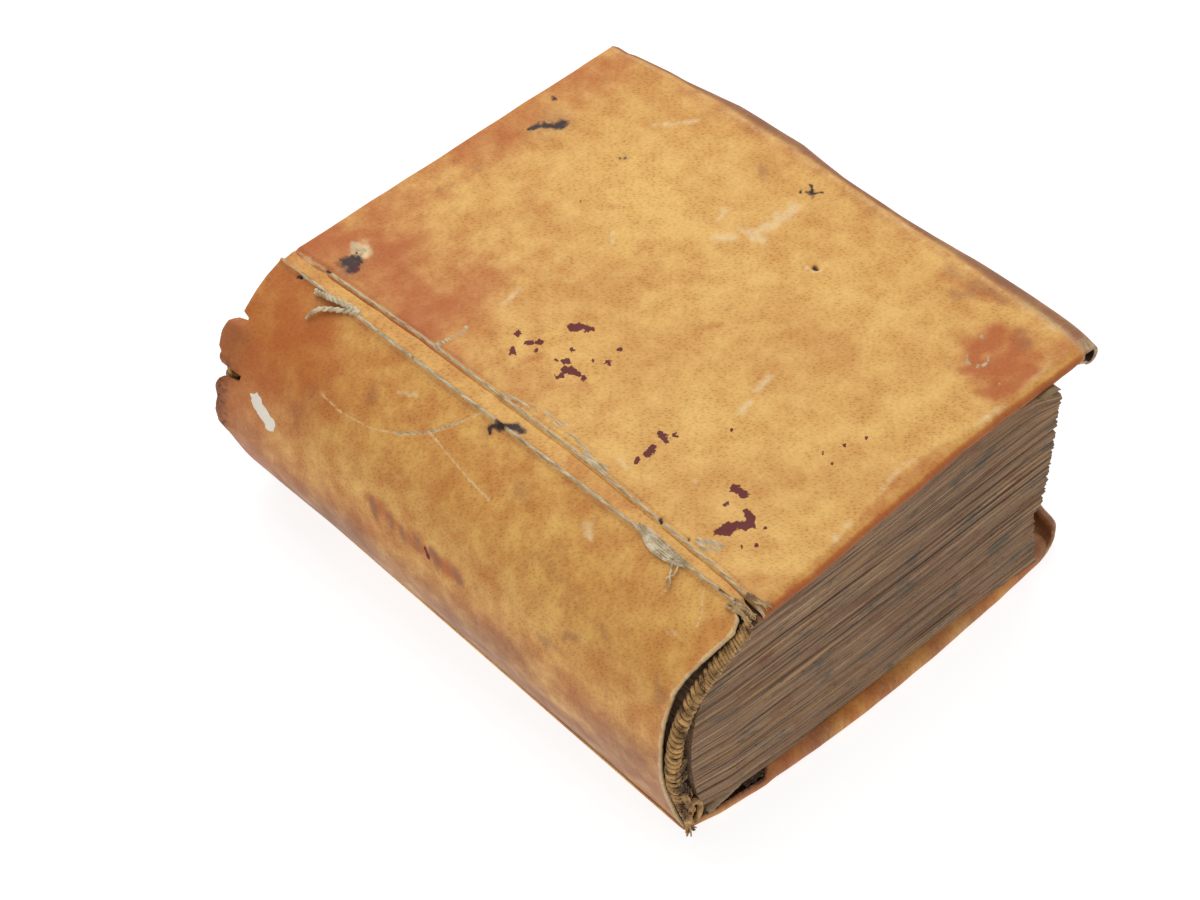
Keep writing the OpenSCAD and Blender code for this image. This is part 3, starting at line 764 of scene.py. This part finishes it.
print("back skin")
across = steps((-19, 101, 1.3), (101, 113, 0.34), (113, 122, 1.3))
along = steps((-14, -5, 1.3), (-5, 4, 0.34), (4, 147, 1.5), (147, 156, 0.5), (156, 164, 1.4))
bm = flatSheet(across, along)
mitred = []
for face in bm.faces:
    c = face.calc_center_median()
    toEnd = min(c.y, 151 - c.y)
    if ((c.x > 101.5 and toEnd < 1.2) or (c.x > 113 and toEnd < c.x - 112)
            or (toEnd < -5 and 104 - c.x < -toEnd)
            or (c.y < -2.9 and c.x < 4.6 + 0.8 * rough(c.y, 0, 1.5, 29))):
        mitred.append(face)
bmesh.ops.delete(bm, geom=mitred, context="FACES")
bendSheet(bm, backPoint, [])
bmesh.ops.reverse_faces(bm, faces=bm.faces)
backSkin = makePiece("backSkin", bm, [skinMaterial, fleshSideShadeMaterial], backShape["skin"])
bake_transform(backSkin)
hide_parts("back_cover_leather")

# paper
# Laid rag paper, its edges cut long ago and grey-brown from dust: thin dark lines between the leaves, and
# near-black painted shade where the rows dent in at the folds between gatherings
leafColours = {"dark": "#2a1c13", "mid": "#927256", "light": "#c6a780", "tan": "#c08f54", "blue": "#58564c",
               "red": "#7d4e35", "page": "#b9a37c", "foxing": "#8f6a3f", "pageDark": "#a08a66",
               "gap": "#1d1510", "pasted": "#a08863", "pastedDark": "#85694a"}
# each noise: how often it repeats in a mm along and across the leaves, detail, roughness, distortion
leafNoises = {"sheets": (0.014, 2.6, 4, 0.7, 0.25), "plies": (0.022, 1.0, 3, 0.6, 0.3),
              "folds": (0.02, 0.55, 3, 0.6, 0), "dirt": (0.09, 0.2, 4, 0.65, 0),
              "speck": (0.7, 2.2, 4, 0.7, 0)}


def paperEdges(name):
    material, tree, shader = newMaterial(name, Roughness=0.85, IOR=1.45)
    place = addNode(tree, "UVMap", {}, uv_map="leafMap").outputs[0]
    drawn = {}
    for noiseName, (along, across, detail, jagged, distortion) in leafNoises.items():
        stretched = addNode(tree, "Mapping", {0: place, 3: (along, across, 1)}).outputs[0]
        drawn[noiseName] = addNode(tree, "TexNoise", {
            0: stretched, "Scale": 1.0, "Detail": detail, "Roughness": jagged,
            "Distortion": distortion}).outputs[0]
    folds, dirt, speck = drawn["folds"], drawn["dirt"], drawn["speck"]
    sheets = addNode(tree, "Math", {0: drawn["plies"], 1: 0.75, 2: drawn["sheets"]},
                     operation="MULTIPLY_ADD").outputs[0]
    # painted shade: near-black where the rows dent in at the folds between gatherings
    gap = addNode(tree, "Attribute", {}, attribute_name="gap").outputs["Fac"]
    colour = hexColour(leafColours["dark"])
    for source, low, high, most, tint in (
            (sheets, 0.64, 0.86, 1, "mid"), (sheets, 0.94, 1.14, 1, "light"), (folds, 0.57, 0.7, 0.7, "tan"),
            (dirt, 0.55, 0.66, 0.7, "blue"), (dirt, 0.44, 0.34, 0.55, "red"), (speck, 0.42, 0.3, 0.7, "dark"),
            (gap, 0.2, 0.8, 0.85, "gap")):
        share = addNode(tree, "MapRange", {0: source, 1: low, 2: high, 4: most}).outputs[0]
        colour = tintOver(tree, share, colour, hexColour(leafColours[tint]))
    tree.links.new(colour, shader.inputs["Base Color"])
    relief = addNode(tree, "Math", {0: sheets, 1: speck}, operation="ADD").outputs[0]
    bump = addNode(tree, "Bump", {"Strength": 0.7, "Distance": 0.2 * mm, "Height": relief})
    tree.links.new(bump.outputs[0], shader.inputs["Normal"])
    return material


# size in mm, detail, roughness
pageNoises = {"cloud": (26, 4, 0.6), "spots": (3.5, 3, 0.6), "felt": (0.6, 3, 0.5)}


def agedPaper(name, light, dark):  # made by hand in a mould: laid lines 1 mm apart, foxed and yellowed
    material, tree, shader = newMaterial(name, Roughness=0.88, IOR=1.45)
    place = addNode(tree, "TexCoord", {}).outputs["Object"]
    cloud, spots, felt = [
        addNode(tree, "TexNoise", {0: place, "Scale": 1 / (size * mm), "Detail": detail,
                                   "Roughness": jagged}).outputs[0]
        for size, detail, jagged in pageNoises.values()]
    laid = addNode(tree, "TexWave", {0: place, "Scale": 1 / (6.3 * mm), "Distortion": 0.4, "Detail": 1.0},
                   bands_direction="Y").outputs["Fac"]
    yellowed = addNode(tree, "MapRange", {0: cloud, 1: 0.35, 2: 0.65}).outputs[0]
    colour = tintOver(tree, yellowed, hexColour(light), hexColour(dark))
    foxed = addNode(tree, "MapRange", {0: spots, 1: 0.62, 2: 0.72, 4: 0.5}).outputs[0]
    colour = tintOver(tree, foxed, colour, hexColour(leafColours["foxing"]))
    colour = tintOver(tree, 0.12, colour, laid, "MULTIPLY")
    tree.links.new(colour, shader.inputs["Base Color"])
    bump = addNode(tree, "Bump", {"Strength": 0.3, "Distance": 0.08 * mm, "Height": felt})
    tree.links.new(bump.outputs[0], shader.inputs["Normal"])
    return material


edgeMaterial = paperEdges("rag paper leaf edges, dusty")
pageMaterial = agedPaper("rag paper page, foxed", leafColours["page"], leafColours["pageDark"])
pastedownMaterial = agedPaper("pasted-down rag paper, browned", leafColours["pasted"],
                              leafColours["pastedDark"])

# leaves
leaves = {"rows": 196, "across": 46, "along": 52, "top": 56.8, "bottom": 3.2, "dent": 0.85, "jag": 0.24,
          "off": 5.4, "wide": 105, "high": 148}


def inside(u, s, off):  # a height and place this far in from the skin
    (x, z), (outX, outZ) = spineAt(u, s), spineOut(u, s)
    return z - outZ * off, x - outX * off


spineSides = [sorted(inside(k / 50, s, leaves["off"]) for k in range(101)) for s in (0, 1)]
foreSide = [(2, 94.5), (5.2, 94.6), (8, 93.9), (15, 93.2), (19.6, 93.1), (21.9, 93.6), (22.7, 95.6),
            (26, 96.4), (30, 97.2), (37.8, 98.5), (47.8, 99.2), (57.2, 99.0)]
bottomLine = [(-20, 9.6), (-16, 8.6), (-6.5, 5.9), (3, 5.2), (16, 4.0), (32, 3.3), (45, 3.2), (110, 3.2)]
topTailLine = [(25, -0.3), (52, 0.6), (68, 1.5), (86, 1.7), (93, 0.9), (98, -0.9)]
gatherings = {0: 0.2, 0.105: 1.0, 0.16: 0.4, 0.21: 0.5, 0.27: 0.7, 0.33: 0.6, 0.40: 0.5, 0.445: 0.4,
              0.50: 0.7, 0.56: 1.1, 0.61: 0.4, 0.64: 0.6, 0.70: 0.5, 0.76: 0.9, 0.82: 0.6, 0.88: 0.6,
              0.94: 0.5, 1.0: 0.2}  # place of each fold in the thickness, and how open it is


def leafDent(w, side):  # how far a row lies in at the folds between gatherings
    dent = 0
    for at, gap in gatherings.items():
        wave = at + 0.012 * rough(side, at * 50, 40, 31)
        dent += gap * hump(w, wave, 0.0065) * (0.2 + 0.8 * clamp(0.5 + rough(side, at * 90, 24, 30)))
    return min(dent, 1.2)


print("leaves")
bm = bmesh.new()
bmesh.ops.create_cube(bm, size=1)
for axis, cuts in ((2, leaves["rows"]), (0, leaves["across"]), (1, leaves["along"])):
    edges = [e for e in bm.edges if abs((e.verts[0].co - e.verts[1].co)[axis]) > 0.5]
    bmesh.ops.subdivide_edges(bm, edges=edges, cuts=cuts - 1, use_grid_fill=True)
gapShadeLayer = bm.verts.layers.float.new("gap")
leafMaps = {}
for v in bm.verts:
    u, along, w = v.co.x + 0.5, v.co.y + 0.5, v.co.z + 0.5
    atFore, atTail, atHead = u > 0.999, along < 0.001, along > 0.999
    if atTail:
        roundRun = leaves["wide"] * u
    elif atFore:
        roundRun = leaves["wide"] + leaves["high"] * along
    elif atHead:
        roundRun = 2 * leaves["wide"] + leaves["high"] - leaves["wide"] * u
    else:
        roundRun = 500 + leaves["high"] * along  # the spine side, kept well apart from the others
    dent = leafDent(w, roundRun)
    jag = leaves["jag"] * (rough(w * 130, roundRun / 60, 1, 32) + 0.9 * rough(w * 34, roundRun / 45, 1, 33)
                           + 0.5 * rough(w * 300, roundRun / 9, 1, 34))
    jag += 0.5 * max(0, rough(w * 70, 3, 1, 35)) * (atFore and 1)
    out = jag - leaves["dent"] * dent
    zFore = mix(leaves["bottom"], leaves["top"], w)
    foreX = through(foreSide, zFore)
    zBack = mix(9.6, leaves["top"], w)
    x = mix(mix(through(spineSides[0], zBack), through(spineSides[1], zBack), along), foreX + out, u)
    low = through(bottomLine, x)
    z = mix(low, leaves["top"], w)
    arch = math.sin(math.pi * w)
    z += 0.5 * rough(x, w * 4, 34, 36) * arch + 0.16 * rough(x, w * 40, 9, 37) * arch
    topTail = through(topTailLine, x)
    y = mix(mix(-2.0, mix(-0.3, topTail, ease(0.8, 1, w)), ease(0, 0.9, w)) - out, 147.7 + out, along)
    if w > 0.999 or w < 0.001:
        z += 0.12 * rough(x, y, 22, 38) * (1 if w < 0.5 else -1) - (0.1 if w > 0.5 else -0.1)
    corner = ease(0.955, 1, u) * ease(0.05, 0, along) * ease(0.93, 1.0, w)
    z -= 0.9 * corner
    v.co = (x, y, z)
    v[gapShadeLayer] = clamp(dent)
    leafMaps[v] = (roundRun, w * 54)
leafMap = bm.loops.layers.uv.new("leafMap")
bm.normal_update()
for face in bm.faces:
    level = len({round(leafMaps[v][1], 3) for v in face.verts}) == 1
    face.material_index = 1 if abs(face.normal.z) > 0.8 and level else 0  # the open page, not the edges
    for loop in face.loops:
        loop[leafMap].uv = leafMaps[loop.vert]
leafBlock = makePiece("leaves", bm, [edgeMaterial, pageMaterial], smooth=False)
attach(leafBlock, "book")
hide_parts("text_block")


# threads and strands
def fibreMaterial(name, light, dark, scale, stretch=(1, 1, 1)):
    material, tree, shader = newMaterial(name, Roughness=0.8, IOR=1.5)
    place = addNode(tree, "TexCoord", {}).outputs["Object"]
    place = addNode(tree, "Mapping", {0: place, 3: stretch}).outputs[0]
    fine, broad = [
        addNode(tree, "TexNoise", {0: place, "Scale": 1 / (size * mm), "Detail": detail,
                                   "Roughness": jagged}).outputs[0]
        for size, detail, jagged in ((scale, 5, 0.7), (7 * scale, 2, 0.5))]
    level = addNode(tree, "Math", {0: fine, 1: 0.65, 2: broad}, operation="MULTIPLY_ADD").outputs[0]
    share = addNode(tree, "MapRange", {0: level, 1: 0.66, 2: 1.0}).outputs[0]
    colour = tintOver(tree, share, hexColour(dark), hexColour(light))
    tree.links.new(colour, shader.inputs["Base Color"])
    bump = addNode(tree, "Bump", {"Strength": 0.6, "Distance": 0.15 * mm, "Height": fine})
    tree.links.new(bump.outputs[0], shader.inputs["Normal"])
    return material


# Two-ply linen thread, waxed and darkened; bare flax cord; tawed thong; pulp board; pasted linen lining
threadMaterial = fibreMaterial("waxed linen thread, browned", "#d2a566", "#58391d", 0.4)
darkThreadMaterial = fibreMaterial("waxed linen thread, blackened", "#94703f", "#38241a", 0.4)
flaxMaterial = fibreMaterial("bare flax strands", "#e6d6b6", "#9d855f", 0.5)
cordMaterial = fibreMaterial("rolled tawed core", "#6b4b2e", "#34210f", 0.8)
thongMaterial = fibreMaterial("alum-tawed thong, dusty", "#d2bd95", "#85694a", 0.7, (1, 0.3, 1))
boardMaterial = fibreMaterial("pasteboard, layered", "#b0925f", "#7d6040", 1.2, (0.3, 0.3, 3))
liningMaterial = fibreMaterial("pasted linen lining, browned", "#8c755a", "#55412f", 0.9)
scrapMaterial = fibreMaterial("torn skin scrap, flesh side", "#9d8264", "#4d392a", 0.7, (0.5, 0.5, 1))
tornMaterial = fibreMaterial("torn skin fibres, dusty", "#d0ae7c", "#7d5c3b", 0.6)

nodeMaterials = {"front_pastedown": pastedownMaterial, "back_pastedown": pastedownMaterial,
                 "spine_lining": liningMaterial, "sewing_support_tail": thongMaterial,
                 "sewing_support_middle": thongMaterial, "sewing_support_head": thongMaterial,
                 "head_endband_core": cordMaterial, "tail_endband_core": cordMaterial}
for nodeName, material in nodeMaterials.items():
    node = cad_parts[nodeName]
    node.data.materials.clear()
    node.data.materials.append(material)


boards = {"thick": 1.3, "tailIn": 4.6, "edgeIn": 1.7}
for side, body, faceZ, tailOf, leftTail, leftHead, right in (
        ("front", "front_cover", bookThick - 0.9, frontTail, 6.2, 6.2, 109.2),
        ("back", "back_cover", 2.2, backTail, -16.4, -10.2, 107.6)):
    bm = flatSheet(steps((0, 100, 4)), steps((0, 100, 4)))
    for v in bm.verts:
        t = v.co.y / 100
        x = mix(mix(leftTail, leftHead, t), right - 4.4 * abs(2 * t - 1) ** 10, v.co.x / 100)
        v.co = (x, mix(tailOf(x) + boards["tailIn"], 151 - boards["edgeIn"], t), faceZ)
    board = makePiece(side + "Board", bm, [boardMaterial], boards["thick"], smooth=False)
    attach(board, body)
    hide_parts(side + "_board")


def strands(name, paths, radius, material, body, sides=2):  # round strands along x, y, z, thickness
    curve = bpy.data.curves.new(name, "CURVE")
    curve.dimensions, curve.bevel_depth, curve.bevel_resolution = "3D", radius * mm, sides
    curve.use_fill_caps = True
    for path in paths:
        spline = curve.splines.new("POLY")
        spline.points.add(len(path) - 1)
        for knot, (x, y, z, thick) in zip(spline.points, path):
            knot.co = (*framePoint(x, y, z), 1)
            knot.radius = thick
    drawn = bpy.data.objects.new(name + "Curve", curve)
    mesh = bpy.data.meshes.new_from_object(drawn)
    bpy.data.objects.remove(drawn)
    bpy.data.curves.remove(curve)
    mesh.materials.clear()
    mesh.materials.append(material)
    mesh.shade_smooth()
    piece = bpy.data.objects.new(name, mesh)
    scene.collection.objects.link(piece)
    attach(piece, body)
    return piece


bands = {"off": 2.75, "core": 1.3, "thread": 0.4, "pitch": 0.86, "bunch": 1.75, "first": 0.05,
         "last": 1.80, "perTurn": 12}


def woundBand(s, y, seed, slackFrom):
    wind = random.Random(seed)
    path, turn, u, k = [], 0.0, bands["first"], 0
    while u < bands["last"]:
        (x, z), (outX, outZ) = spineAt(u, s), spineOut(u, s)
        slack = ease(slackFrom, slackFrom + 0.25, u)
        bunched = math.cos(2 * math.pi * k / bands["perTurn"] * bands["pitch"] / bands["bunch"])
        radius = bands["core"] + 0.2 * bunched + 0.2 * rough(k / 30, 0, 1, seed)
        radius += 0.8 * slack * abs(rough(k / 7, 1, 1, seed))
        inX, inZ = -outX, -outZ
        atTail = y < 75
        off = bands["off"] - (1.2 * hump(u, 0.95, 0.65) if atTail else 0.55 * hump(u, 1.2, 0.5))
        lean = (0.55 + 0.5 * rough(k / 40, 2, 1, seed)) * math.sin(turn)
        # the band stands out past the skin on the shoulder and lies further in below
        middle = (x + inX * off, y - atTail * mix(1.9, 0.3, ease(0.35, 1.1, u)), z + inZ * off)
        acrossBy, alongBy = radius * math.cos(turn), radius * math.sin(turn)
        path.append((middle[0] + acrossBy * inX - lean * inZ, middle[1] + alongBy,
                     middle[2] + acrossBy * inZ + lean * inX,
                     mix(1.0, 0.85, slack) * (1 + 0.22 * bunched + 0.2 * rough(k / 8, 3, 1, seed))))
        turn += 2 * math.pi / bands["perTurn"]
        speed = math.dist(spineAt(min(u + 0.01, 2), s), spineAt(u, s)) / 0.01
        u += bands["pitch"] / bands["perTurn"] / max(speed, 1) * mix(1, 1 + 0.5 * wind.uniform(-1, 1), slack)
        k += 1
    return path


print("endbands")
tailBand = strands("tailBandThread", [woundBand(0, 1.0, 3, 1.0)], bands["thread"], threadMaterial, "book")
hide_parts("tail_endband_thread")
headBand = strands("headBandThread", [woundBand(1, 147.6, 5, 1.7)], bands["thread"], threadMaterial, "book")
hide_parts("head_endband_thread")


def wander(points, count, sway, seed, thick=(1, 1)):  # a loose path through points, thinning to its end
    path = []
    for k in range(count + 1):
        t = k / count * (len(points) - 1)
        j = min(int(t), len(points) - 2)
        x, y, z = [mix(a, b, t - j) for a, b in zip(points[j], points[j + 1])]
        path.append((x + sway * rough(k, 1, 4, seed), y + sway * rough(k, 2, 4, seed + 9),
                     z + sway * rough(k, 3, 4, seed + 18), mix(thick[0], thick[1], k / count)))
    return path


def plied(path, radius, turns):  # two plies twisted round a path
    plies = []
    for phase in (0, math.pi):
        ply = []
        for k, (x, y, z, thick) in enumerate(path):
            angle = phase + turns * 2 * math.pi * k / (len(path) - 1)
            ply.append((x + radius * thick * math.cos(angle), y + 0.5 * radius * thick * math.cos(angle),
                        z + radius * thick * math.sin(angle), thick))
        plies.append(ply)
    return plies


print("loose strands")
# head slip: one strand doubled back into a V, lying on the first ridge
armOne = wander([(-2.6, 137.4, 60.2), (-2.2, 135.0, 60.35), (-1.9, 132.4, 60.9), (-1.0, 128.6, 61.1),
                 (-0.5, 124.8, 60.9)], 44, 0.12, 40, (0.95, 1.05))
armTwo = wander([(-0.7, 124.6, 60.8), (-1.7, 127.6, 60.1), (-3.3, 130.6, 59.6), (-5.0, 133.2, 59.2),
                 (-6.4, 134.2, 58.4), (-7.9, 134.6, 57.2)], 40, 0.1, 41, (1.1, 0.7))
strands("headSlip", plied(armOne, 0.36, 5) + plied(armTwo, 0.34, 5), 0.42, flaxMaterial, "book")

# tail slip: a flattened, frayed bundle on the first ridge with one thread hanging over the shoulder
fray = random.Random(12)
bundle = []
for k in range(26):
    side = fray.uniform(-1, 1)
    start, end = 34.6 - 1.6 * abs(side) - fray.uniform(0, 1.5), 17.2 + fray.uniform(0, 3.4) * abs(side)
    points = []
    for j in range(6):
        t = j / 5
        y = mix(start, end, t)
        wide = 1.45 * math.sin(math.pi * clamp(0.12 + 0.82 * t)) ** 0.7
        x = -0.55 - 0.8 * math.sin(math.pi * t) + side * wide - 0.8 * t
        slope = 0.55 * (x + 0.8) if x < -0.8 else -0.25 * max(0, x - 0.2)
        z = bookThick + 0.72 - 0.10 * side * side + slope + fray.uniform(-0.1, 0.28)
        points.append((x, y, z))
    bundle.append(wander(points, 22, 0.1, 50 + k, (1.0, 0.55)))
bundle.append(wander([(-1.6, 21.6, 60.4), (-3.4, 20.8, 59.5), (-5.2, 19.6, 58.6), (-6.2, 18.2, 57.8),
                      (-7.8, 18.3, 56.9)], 18, 0.2, 91, (0.9, 0.5)))
bundle.append(wander([(-2.0, 20.0, 60.1), (-4.2, 19.3, 59.0), (-5.6, 20.2, 58.2), (-6.6, 19.4, 57.5)],
                     14, 0.2, 92, (0.8, 0.4)))
strands("tailSlip", bundle, 0.3, flaxMaterial, "book", 1)

# lower end of the tail endband: the thread has come undone into a loop, with frayed ends below it
loop = []
for k in range(40):
    t = k / 39
    angle = math.radians(mix(120, -205, t))
    loop.append((-17.9 + 2.0 * math.cos(angle), -1.2 - t, 8.6 + 3.1 * math.sin(angle), mix(1.35, 0.7, t)))
ends = [loop, wander([(-20.6, -0.6, 16.4), (-19.8, -1.6, 13.6), (-19.2, -1.8, 11.0), (-18.4, -1.6, 9.6)],
                     20, 0.25, 61, (1.1, 1.2))]
loose = random.Random(21)
for k in range(14):
    top = (-19.8 + loose.uniform(-0.8, 1.4), -0.9 + loose.uniform(-0.6, 0.6), 7.2 + loose.uniform(-2, 7))
    between = (top[0] + loose.uniform(-1, 1.6), top[1] - 0.6, top[2] * 0.6)
    foot = (-18.4 + loose.uniform(-1.4, 1.6), -1.2 + loose.uniform(-0.9, 0.9), 1.4)
    ends.append(wander([top, between, foot], 14, 0.4, 70 + k, (0.5, 0.25)))
strands("looseBandEnd", ends, 0.72, threadMaterial, "book", 2)


# torn skin fibres where the two ridges run out at the tail
tear = random.Random(33)
torn = []
for k in range(15):
    x, y = -3.2 + tear.uniform(0, 3.0), 3.6 + tear.uniform(-0.8, 1.6)
    knots = [(x, y, 60.1 - 0.25 * max(0, -x - 1)),
             (x + tear.uniform(0, 0.9), mix(y, 0.2, 0.5), 60.2 - 0.2 * abs(x + 1)),
             (x + tear.uniform(0.2, 1.5), tear.uniform(-0.4, 0.9), 59.4 - tear.uniform(0, 1.0)),
             (x + tear.uniform(0.4, 1.9), tear.uniform(-1.1, 0.4), 58.2 - tear.uniform(0, 1.3))]
    torn.append(wander(knots, 12, 0.3, 200 + k, (1.15, 0.5)))
for k in range(7):
    x, y = 1.7 + tear.uniform(-0.3, 1.0), 4.5 - tear.uniform(0, 3.0)
    knots = [(x, y, 60.5), (x + tear.uniform(0.2, 1.0), mix(y, -1.8, 0.5), 60.4),
             (x + tear.uniform(0.8, 2.8), -1.7 - tear.uniform(0, 0.7), 59.9 - tear.uniform(0, 1.0))]
    torn.append(wander(knots, 12, 0.3, 240 + k, (1.1, 0.5)))
strands("tornFibres", torn, 0.3, tornMaterial, "book", 1)

# thread gone slack over the lower half of the tail band
slackThread = random.Random(44)
tangle = []
for k in range(46):
    at = slackThread.uniform(0.9, 1.7)
    knots = []
    for j in range(4):
        u = clamp(at + j * slackThread.uniform(0.02, 0.075), 0, 1.82)
        (x, z), (outX, outZ) = spineAt(u, 0), spineOut(u, 0)
        off = bands["off"] + slackThread.uniform(-1.7, 1.7)
        knots.append((x - outX * off, 1.0 - bands["core"] - slackThread.uniform(0.0, 0.9), z - outZ * off))
    tangle.append(wander(knots, 16, 0.35, 260 + k, (1.0, 0.5)))
strands("bandTangle", tangle, 0.3, darkThreadMaterial, "book", 1)


# a loose bit of skin or paper, bent by place(a, b)
def scrap(name, place, across, along, thickness, material, body):
    bm = flatSheet(steps((0, 1, 1 / across)), steps((0, 1, 1 / along)))
    for v in bm.verts:
        v.co = place(v.co.x, v.co.y)
    bmesh.ops.recalc_face_normals(bm, faces=bm.faces)
    piece = makePiece(name, bm, [material], thickness, outset=0.0)
    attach(piece, body)


def rolledUp(a, b):  # a strip of skin rolled on itself below the leaves
    turnBy = 2 * math.pi * (1.35 * b + 0.1)
    size = mix(1.45, 0.75, b) * (1 + 0.25 * rough(a * 9, b * 3, 1, 62)) * mix(0.85, 1.1, a)
    return (mix(-13.6, -3.2, a) + 0.3 * rough(b * 5, a * 3, 1, 63), -0.9 + size * math.cos(turnBy) + 0.5 * a,
            mix(4.3, 5.6, a) + size * math.sin(turnBy))


def creasedSkin(a, b):  # the torn end of the turned-in skin, drawn into folds
    x, y = mix(-1.5, 7.2, a), mix(-1.9, 6.0, b) + 0.8 * rough(a * 8, 0, 1, 75) * (1 - b)
    folds = 0.5 + 0.5 * math.sin(5 * x + 1.3 * y + 2 * rough(x, y, 3, 64))
    return x, y, 2.75 + 0.9 * ease(0.3, 1, a) * folds * ease(1, 0.3, b) + 0.4 * rough(x, y, 2, 65)


def dogEar(a, b):  # the upper leaves' corner, bent up under the cover
    lifted = math.sin(math.pi * a) * (1 - b)
    return (mix(93.4, 98.8, a) + 0.4 * lifted, mix(-0.6, 3.4, b) - 0.4 * lifted, 56.95 + 1.25 * lifted)


print("scraps")
scrap("rolledScrap", rolledUp, 22, 26, 0.35, scrapMaterial, "book")
scrap("creasedSkin", creasedSkin, 40, 26, 0.4, scrapMaterial, "back_cover")
scrap("dogEar", dogEar, 16, 10, 0.25, pastedownMaterial, "book")

bpy.context.view_layer.update()
floorMesh = bpy.data.meshes.new("floor")
bm = bmesh.new()
bmesh.ops.create_grid(bm, x_segments=1, y_segments=1, size=4)
bm.to_mesh(floorMesh)
bm.free()
floorMaterial, tree, shader = newMaterial("pale paper sweep", Roughness=0.9)
shader.inputs["Base Color"].default_value = hexColour("#9c9c9c")
shader.inputs["Emission Color"].default_value = (1, 1, 1, 1)
shader.inputs["Emission Strength"].default_value = 0.82  # a sweep lit from below
floorMesh.materials.append(floorMaterial)
floor = bpy.data.objects.new("floor", floorMesh)
scene.collection.objects.link(floor)
